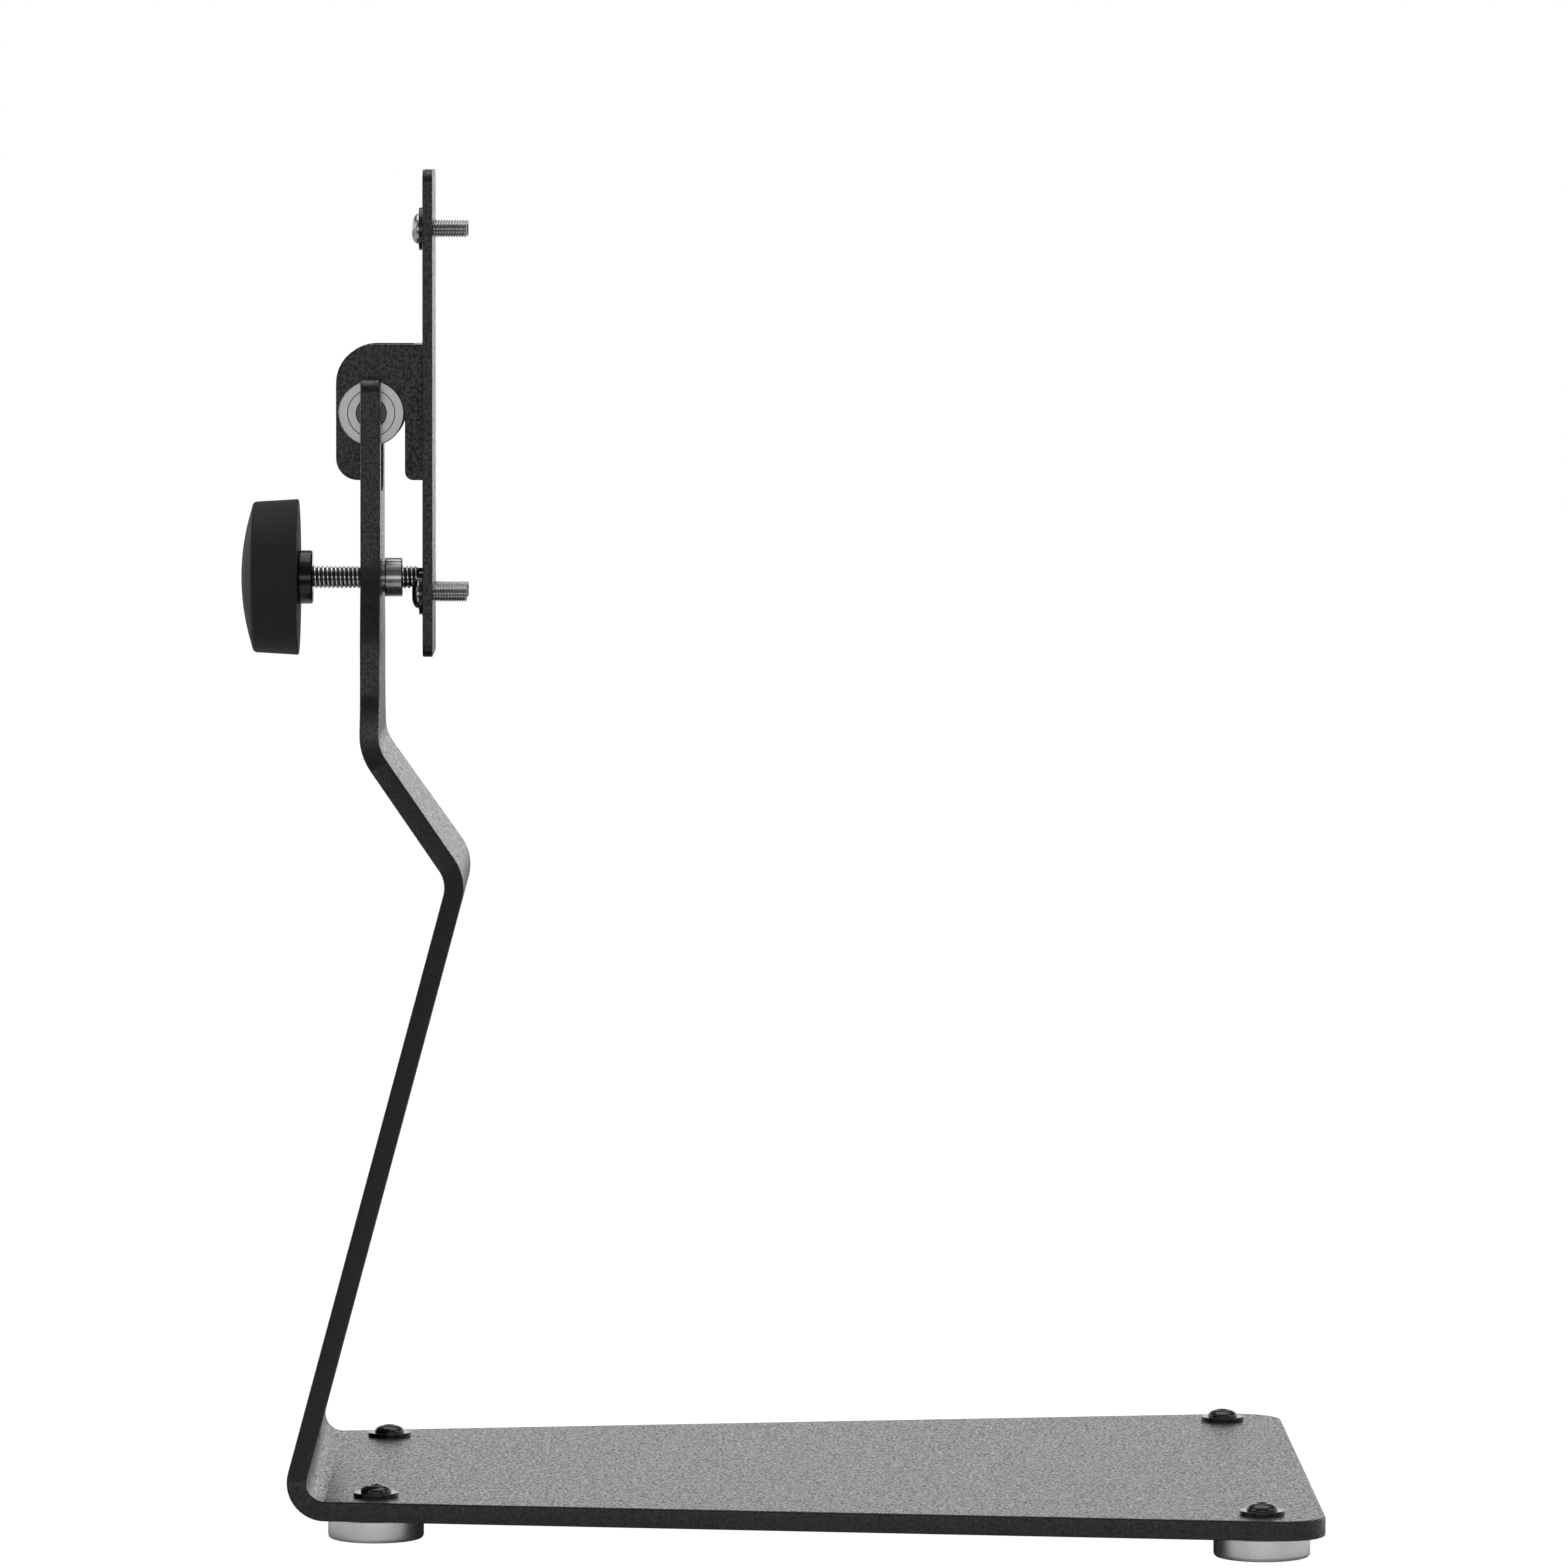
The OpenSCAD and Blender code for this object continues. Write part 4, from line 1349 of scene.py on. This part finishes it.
@dataclass
class Pivot:
    """The axle between the prongs, its two bright discs and its pins."""

    axle_edge: float = 0.2
    pin_hole_depth: float = 6.3
    pin_play: float = 0.03
    disc_bore: float = 4.53
    disc_edge: float = 0.35
    groove_radius: float = 7.1
    groove_depth: float = 0.25
    groove_edge: float = 0.1
    pin_edge: float = 0.3
    pin_inner_edge: float = 0.15
    disc_steel: Finish = BrightSteel(dark=(0.31, 0.31, 0.315), pale=(0.45, 0.45, 0.455))

    def axle(self) -> None:
        """Turn the axle."""
        billet = Billet("pivot_axle", Facing.LEFT)
        bore = Billet("axle_pin_left", Facing.LEFT).radius + self.pin_play
        depth, length = self.pin_hole_depth, billet.length
        bm = Lathe.turn(
            [
                Ring(0.0, depth),
                Ring(bore, depth),
                Ring(bore, 0.0),
                Ring(billet.radius, 0.0, self.axle_edge),
                Ring(billet.radius, length, self.axle_edge),
                Ring(bore, length),
                Ring(bore, length - depth),
                Ring(0.0, length - depth),
            ]
        )
        billet.hand_over(bm, "pivot_axle_turned", Body.STAND, BlackSteel())

    def disc(self, side: str, facing: Facing) -> None:
        """Turn one disc with the ring groove in its outer face.

        Args:
            side: "left" or "right".
            facing: The way that the grooved face looks.
        """
        billet = Billet(f"axle_disc_{side}", facing)
        floor = billet.length - self.groove_depth
        bm = Lathe.turn(
            [
                Ring(self.disc_bore, 0.0),
                Ring(billet.radius, 0.0, self.disc_edge),
                Ring(billet.radius, billet.length, self.disc_edge),
                Ring(self.groove_radius, billet.length),
                Ring(self.groove_radius - self.groove_depth, floor),
                Ring(self.disc_bore, floor, self.groove_edge),
            ],
            closed=True,
        )
        billet.hand_over(bm, f"{billet.node}_turned", Body.STAND, self.disc_steel)

    def pin(self, side: str, facing: Facing) -> None:
        """Turn one dowel pin.

        Args:
            side: "left" or "right".
            facing: The way that its outer end looks.
        """
        billet = Billet(f"axle_pin_{side}", facing)
        bm = Lathe.turn(
            [
                Ring(0.0, 0.0),
                Ring(billet.radius, 0.0, self.pin_inner_edge),
                Ring(billet.radius, billet.length, self.pin_edge),
                Ring(0.0, billet.length),
            ]
        )
        billet.hand_over(bm, f"{billet.node}_turned", Body.STAND, BlackSteel())

    def build(self) -> None:
        """Make every piece of the pivot."""
        self.axle()
        for side, facing in (("left", Facing.LEFT), ("right", Facing.RIGHT)):
            self.disc(side, facing)
            self.pin(side, facing)


@dataclass
class TiltBracket:
    """The tilt plate with the hooked yoke behind it."""

    plate_corner: float = 4.0
    plate_rim: float = 0.35
    screw_hole: float = 2.7
    yoke_thickness: float = 3.0
    yoke_rim: float = 0.25
    upper_corner: float = 11.5
    lower_corner: float = 6.5
    hook_radius: float = 4.58
    hook_front: float = 9.9
    hook_corner: float = 2.5
    hook_turn: float = 7.0
    seat_flat: float = 0.05
    lip: float = 0.3
    lip_edge: float = 0.3
    lip_corner: float = 0.8
    web_into_ear: float = 0.1
    web_shorter: float = 0.05
    web_thinner: float = 0.02
    web_rim: float = 0.1

    def plate(self) -> None:
        """Cut the plate, round its corners and drill it."""
        low, high = box_mm("tilt_plate")
        size, middle = high - low, (low + high) / 2
        half_y, half_z = size.y / 2, size.z / 2
        bm = Workshop.rectangle(half_y, half_z)
        for across in (1, -1):
            for up in (1, -1):
                Workshop.corner(bm, (across * half_y, up * half_z), self.plate_corner)
        for place in SCREW_PLACES:
            centre = middle_mm(f"plate_screw_{place}") - middle
            Workshop.hole(bm, (centre.y, centre.z), self.screw_hole)
        Workshop.thicken(bm, size.x, self.plate_rim)
        Workshop.place(bm, ACROSS, middle)
        Workshop.hand_over(bm, "mounting_plate", Body.BRACKET, PowderCoat(), ["tilt_plate"])

    def ear(self, low: Vector, high: Vector) -> BMesh:
        """Cut one ear of the yoke with its hook slot, flat, with the axle at zero.

        Args:
            low: The yoke's lowest corner, seen from the axle.
            high: The yoke's highest corner, seen from the axle.

        Returns:
            The ear, with X forward and Y up.
        """
        back, front, top, bottom = low.x, high.x, high.z, low.z
        seat, hook, lip = self.hook_radius, self.hook_front, self.lip
        bm = Workshop.outlined(
            [
                (front, bottom),
                (front, top),
                (back, top),
                (back, bottom),
                (lip, bottom),
                (lip, -seat),
                (-seat, -seat),
                (-seat, seat),
                (hook, seat),
                (hook, bottom),
            ]
        )
        rounded = (
            ((hook, bottom), self.hook_corner, 6),
            ((hook, seat), self.hook_turn, 10),
            ((-seat, seat), seat - self.seat_flat, 8),
            ((-seat, -seat), seat - self.seat_flat, 8),
            ((lip, -seat), self.lip_edge, 3),
            ((lip, bottom), self.lip_corner, 3),
            ((back, bottom), self.lower_corner, 10),
            ((back, top), self.upper_corner, 14),
        )
        for at, reach, steps in rounded:
            Workshop.corner(bm, at, reach, steps)
        Workshop.thicken(bm, self.yoke_thickness, self.yoke_rim)
        return bm

    def yoke(self) -> None:
        """Cut both ears and the web between them, and set them together."""
        low, high = box_mm("hinge_yoke")
        axis = middle_mm("pivot_axle")
        thick = self.yoke_thickness
        web = Workshop.rectangle(
            (high.y - low.y) / 2 - thick + self.web_into_ear,
            (high.z - low.z) / 2 - self.web_shorter,
        )
        Workshop.thicken(web, thick - self.web_thinner, self.web_rim)
        Workshop.place(web, ACROSS, Vector((high.x - thick / 2, 0.0, (low.z + high.z) / 2)))
        for way in (1, -1):
            ear = self.ear(low - axis, high - axis)
            Workshop.place(ear, ALONG, Vector((axis.x, way * (high.y - thick / 2), axis.z)))
            web = Workshop.join(web, ear)
        Workshop.hand_over(web, "hooked_yoke", Body.BRACKET, PowderCoat(), ["hinge_yoke"])

    def build(self) -> None:
        """Make the plate, the yoke and the four screws with their washers."""
        self.plate()
        self.yoke()
        for place in SCREW_PLACES:
            ButtonScrew(
                f"plate_screw_{place}",
                f"plate_washer_{place}",
                Body.BRACKET,
                Facing.BACKWARD,
                BrightSteel(),
                threaded=True,
            ).build()


@dataclass
class TiltAdjuster:
    """The threaded rod with its knob, boss, bushing and soft nose."""

    pitch: float = 1.25
    thread_play: float = 0.02
    knob_edge: float = 0.9
    knob_front_edge: float = 0.3
    dome_height: float = 3.6
    dome_inset: float = 0.6
    dome_steps: int = 12
    taper: float = 0.8
    insert_radius: float = 6.0
    insert_play: float = 0.03
    insert_edge: float = 0.3
    boss_edge: float = 0.7
    boss_rear_edge: float = 0.15
    rod_play: float = 0.03
    rod_bite: float = 0.05
    tail_radius: float = 4.8
    tail_length: float = 6.6
    tail_edge: float = 0.3
    bushing_bore: float = 3.48
    bushing_edge: float = 0.35
    bore_edge: float = 0.3
    stem_radius: float = 1.5
    button_thickness: float = 1.4
    button_edge: float = 0.5
    broken_edge: float = 0.2

    def __post_init__(self) -> None:
        """Measure the three solids that meet in the knob."""
        self.rod_billet = Billet("threaded_rod", Facing.FORWARD)
        self.knob_billet = Billet("knob", Facing.BACKWARD)
        self.boss_billet = Billet("knob_insert", Facing.FORWARD)
        self.insert_depth = self.knob_billet.lower_end.x - self.boss_billet.lower_end.x

    def rod(self) -> None:
        """Cut the rod's thread."""
        billet = self.rod_billet
        bm = Lathe.thread(billet.radius - self.thread_play, self.pitch, billet.length)
        billet.hand_over(bm, "rod_thread", Body.ADJUSTER, ThreadSteel())

    def nose(self) -> None:
        """Turn the soft nose: a button with a stem."""
        billet = Billet("rod_nose", Facing.FORWARD)
        neck = billet.length - self.button_thickness
        bm = Lathe.turn(
            [
                Ring(0.0, 0.0),
                Ring(self.stem_radius, 0.0, self.broken_edge),
                Ring(self.stem_radius, neck),
                Ring(billet.radius, neck, self.broken_edge),
                Ring(billet.radius, billet.length, self.button_edge),
                Ring(0.0, billet.length),
            ]
        )
        billet.hand_over(bm, "soft_nose", Body.NOSE, SoftPad())

    def knob(self) -> None:
        """Turn the knob: a slightly tapered body with a domed rear face."""
        billet = self.knob_billet
        floor = self.insert_depth + self.insert_play
        bore = self.insert_radius + self.insert_play
        rim = billet.radius - self.taper
        inner = rim - self.knob_edge * self.dome_inset
        dome = (inner**2 + self.dome_height**2) / (2 * self.dome_height)
        rings = [
            Ring(0.0, floor),
            Ring(bore, floor),
            Ring(bore, 0.0),
            Ring(billet.radius, 0.0, self.knob_front_edge),
            Ring(rim, billet.length - self.dome_height, self.knob_edge),
        ]
        for i in range(1, self.dome_steps + 1):
            r = inner * (1 - i / self.dome_steps)
            rings.append(Ring(r, billet.length - dome + math.sqrt(dome**2 - r**2)))
        billet.hand_over(Lathe.turn(rings), "tilt_knob", Body.ADJUSTER, KnobPlastic())

    def boss(self) -> None:
        """Turn the glossy boss with the insert behind it."""
        billet = self.boss_billet
        bore = self.rod_billet.radius + self.rod_play
        floor = self.rod_billet.lower_end.x - billet.lower_end.x - self.rod_bite
        bm = Lathe.turn(
            [
                Ring(0.0, 0.0),
                Ring(self.insert_radius, 0.0, self.insert_edge),
                Ring(self.insert_radius, self.insert_depth),
                Ring(billet.radius, self.insert_depth, self.boss_rear_edge),
                Ring(billet.radius, billet.length, self.boss_edge),
                Ring(bore, billet.length, self.broken_edge),
                Ring(bore, floor),
                Ring(0.0, floor),
            ]
        )
        billet.hand_over(bm, "knob_boss", Body.ADJUSTER, BossPlastic())

    def bushing(self) -> None:
        """Turn the bushing with its tail, shoulder and body."""
        billet = Billet("rod_bushing", Facing.FORWARD)
        bm = Lathe.turn(
            [
                Ring(self.bushing_bore, 0.0, self.broken_edge),
                Ring(self.tail_radius, 0.0, self.tail_edge),
                Ring(self.tail_radius, self.tail_length),
                Ring(billet.radius, self.tail_length, self.bushing_edge),
                Ring(billet.radius, billet.length, self.bushing_edge),
                Ring(self.bushing_bore, billet.length, self.bore_edge),
            ],
            closed=True,
        )
        billet.hand_over(bm, "adjuster_bushing", Body.STAND, BrightSteel())

    def build(self) -> None:
        """Make every piece of the adjuster."""
        self.rod()
        self.nose()
        self.knob()
        self.boss()
        self.bushing()


@dataclass
class Studio:
    """The pale floor, the soft light and the camera.

    Attributes:
        camera_at: The camera's place in millimetres.
        yaw: Turn of the view towards +X from straight along +Y, in degrees.
        pitch: Tilt of the view, in degrees, up counts positive.
        roll: Turn about the view's axis, in degrees.
        focal_px: Focal length in pixels of the photograph.
        picture_px: Width of the photograph in pixels.
    """

    camera_at: tuple[float, float, float] = (-28.75, -3044.1, 413.9)
    yaw: float = 0.596
    pitch: float = -3.704
    roll: float = 0.096
    focal_px: float = 10237.4
    picture_px: float = 1568.0
    sensor_width: float = 36.0
    floor_reach: float = 6.0
    floor_front: float = 0.45
    floor_glow: float = 0.86
    floor_light: float = 1.17
    paper: tuple[Colour, Colour] = ((0.86, 0.86, 0.86), (0.88, 0.88, 0.88))
    sides_share: float = 0.45
    above_share: float = 0.3
    room_light: float = 0.14

    def camera(self) -> None:
        """Set the camera up as the photograph was taken."""
        data = bpy.data.cameras.new("camera")
        data.sensor_fit = "AUTO"
        data.sensor_width = self.sensor_width
        data.lens = self.focal_px / self.picture_px * self.sensor_width
        data.clip_start, data.clip_end = 0.05, 60.0
        yaw, pitch, roll = (math.radians(a) for a in (self.yaw, self.pitch, self.roll))
        right = Vector((math.cos(yaw), -math.sin(yaw), 0.0))
        ahead = Vector(
            (math.sin(yaw) * math.cos(pitch), math.cos(yaw) * math.cos(pitch), math.sin(pitch))
        )
        up = right.cross(ahead)
        side = right * math.cos(roll) + up * math.sin(roll)
        top = up * math.cos(roll) - right * math.sin(roll)
        turn = Matrix((side, top, -ahead)).transposed().to_4x4()
        camera = bpy.data.objects.new("camera", data)
        bpy.context.scene.collection.objects.link(camera)
        camera.matrix_world = Matrix.Translation(Vector(self.camera_at) * MM) @ turn
        bpy.context.scene.camera = camera

    def floor(self) -> None:
        """Lay the plain pale floor."""
        bm = bmesh.new()
        bmesh.ops.create_grid(bm, x_segments=1, y_segments=1, size=self.floor_reach)
        for vert in bm.verts:
            vert.co.y = max(vert.co.y, -self.floor_front)
        mesh = bpy.data.meshes.new("floor")
        bm.to_mesh(mesh)
        bm.free()
        material = bpy.data.materials.new("pale_floor")
        material.use_nodes = True
        recipe = Recipe(material.node_tree)
        speck = recipe.noise(recipe.place(), 40.0, 2.0)
        paper = recipe.add(
            "ShaderNodeBsdfDiffuse",
            None,
            {"Color": recipe.blend(speck, *self.paper)},
        )
        glow = recipe.add("ShaderNodeEmission", None, {"Strength": self.floor_light})
        seen = Signal(recipe, recipe.add("ShaderNodeLightPath").outputs["Is Camera Ray"])
        both = recipe.add(
            "ShaderNodeMixShader",
            None,
            {0: seen * self.floor_glow, 1: paper.outputs[0], 2: glow.outputs[0]},
        )
        recipe.add("ShaderNodeOutputMaterial", None, {"Surface": both.outputs[0]})
        mesh.materials.append(material)
        floor = bpy.data.objects.new("floor", mesh)
        bpy.context.scene.collection.objects.link(floor)

    def sky(self) -> None:
        """Fill the dim room with a bright wall behind, soft boxes and a low front light."""
        world = bpy.data.worlds.new("studio")
        bpy.context.scene.world = world
        world.use_nodes = True
        recipe = Recipe(world.node_tree)
        way = recipe.add("ShaderNodeTexCoord").outputs["Generated"]
        parts = recipe.add("ShaderNodeSeparateXYZ", None, {0: way})
        across, depth, height = (Signal(recipe, parts.outputs[i]) for i in range(3))
        level = height * height
        wall = depth.ramp(0.15, 0.7) * (1 - level.ramp(0.03, 0.25))
        front = (0 - depth).ramp(0.7, 0.95) * (1 - level.ramp(0.008, 0.035))
        sides = (across * across).ramp(0.45, 0.8) * (1 - level.ramp(0.1, 0.4))
        above = height.ramp(0.7, 0.95)
        boxes = sides * self.sides_share + above * self.above_share
        light = wall + front + boxes + self.room_light
        seen = Signal(recipe, recipe.add("ShaderNodeLightPath").outputs["Is Camera Ray"])
        strength = seen + (1 - seen) * light
        shade = recipe.add(
            "ShaderNodeBackground", None, {"Color": (1.0, 1.0, 1.0, 1.0), "Strength": strength}
        )
        recipe.add("ShaderNodeOutputWorld", None, {"Surface": shade.outputs[0]})

    def lamp(
        self, name: str, at: Sequence[float], aim: Sequence[float], size: float, watts: float
    ) -> None:
        """Hang one large soft light.

        Args:
            name: The light's name.
            at: Its place in metres.
            aim: The point that it looks at, in metres.
            size: The side of its square face, in metres.
            watts: Its power.
        """
        data = bpy.data.lights.new(name, "AREA")
        data.shape, data.size, data.energy = "SQUARE", size, watts
        lamp = bpy.data.objects.new(name, data)
        bpy.context.scene.collection.objects.link(lamp)
        lamp.location = at
        lamp.rotation_euler = (Vector(aim) - Vector(at)).to_track_quat("-Z", "Y").to_euler()

    def build(self) -> None:
        """Set up the room."""
        self.camera()
        self.floor()
        self.sky()
        self.lamp("light_above", (0.1, 0.4, 2.4), (0.0, 0.0, 0.1), 2.4, 20.0)
        self.lamp("light_left", (-1.9, -0.8, 1.3), (0.0, 0.0, 0.2), 1.2, 4.0)
        self.lamp("light_right", (1.9, -0.8, 1.3), (0.0, 0.0, 0.2), 1.2, 4.0)
        scene = bpy.context.scene
        scene.view_settings.view_transform = "Standard"
        scene.view_settings.look = "None"


def main() -> None:
    """Build the stand, sub-assembly by sub-assembly, and then its room."""
    logging.basicConfig(level=logging.INFO, format="%(name)s: %(message)s")
    SheetFrame().build()
    for place in FOOT_PLACES:
        Foot(place).build()
    Pivot().build()
    TiltBracket().build()
    TiltAdjuster().build()
    Studio().build()


if __name__ == "__main__":
    main()
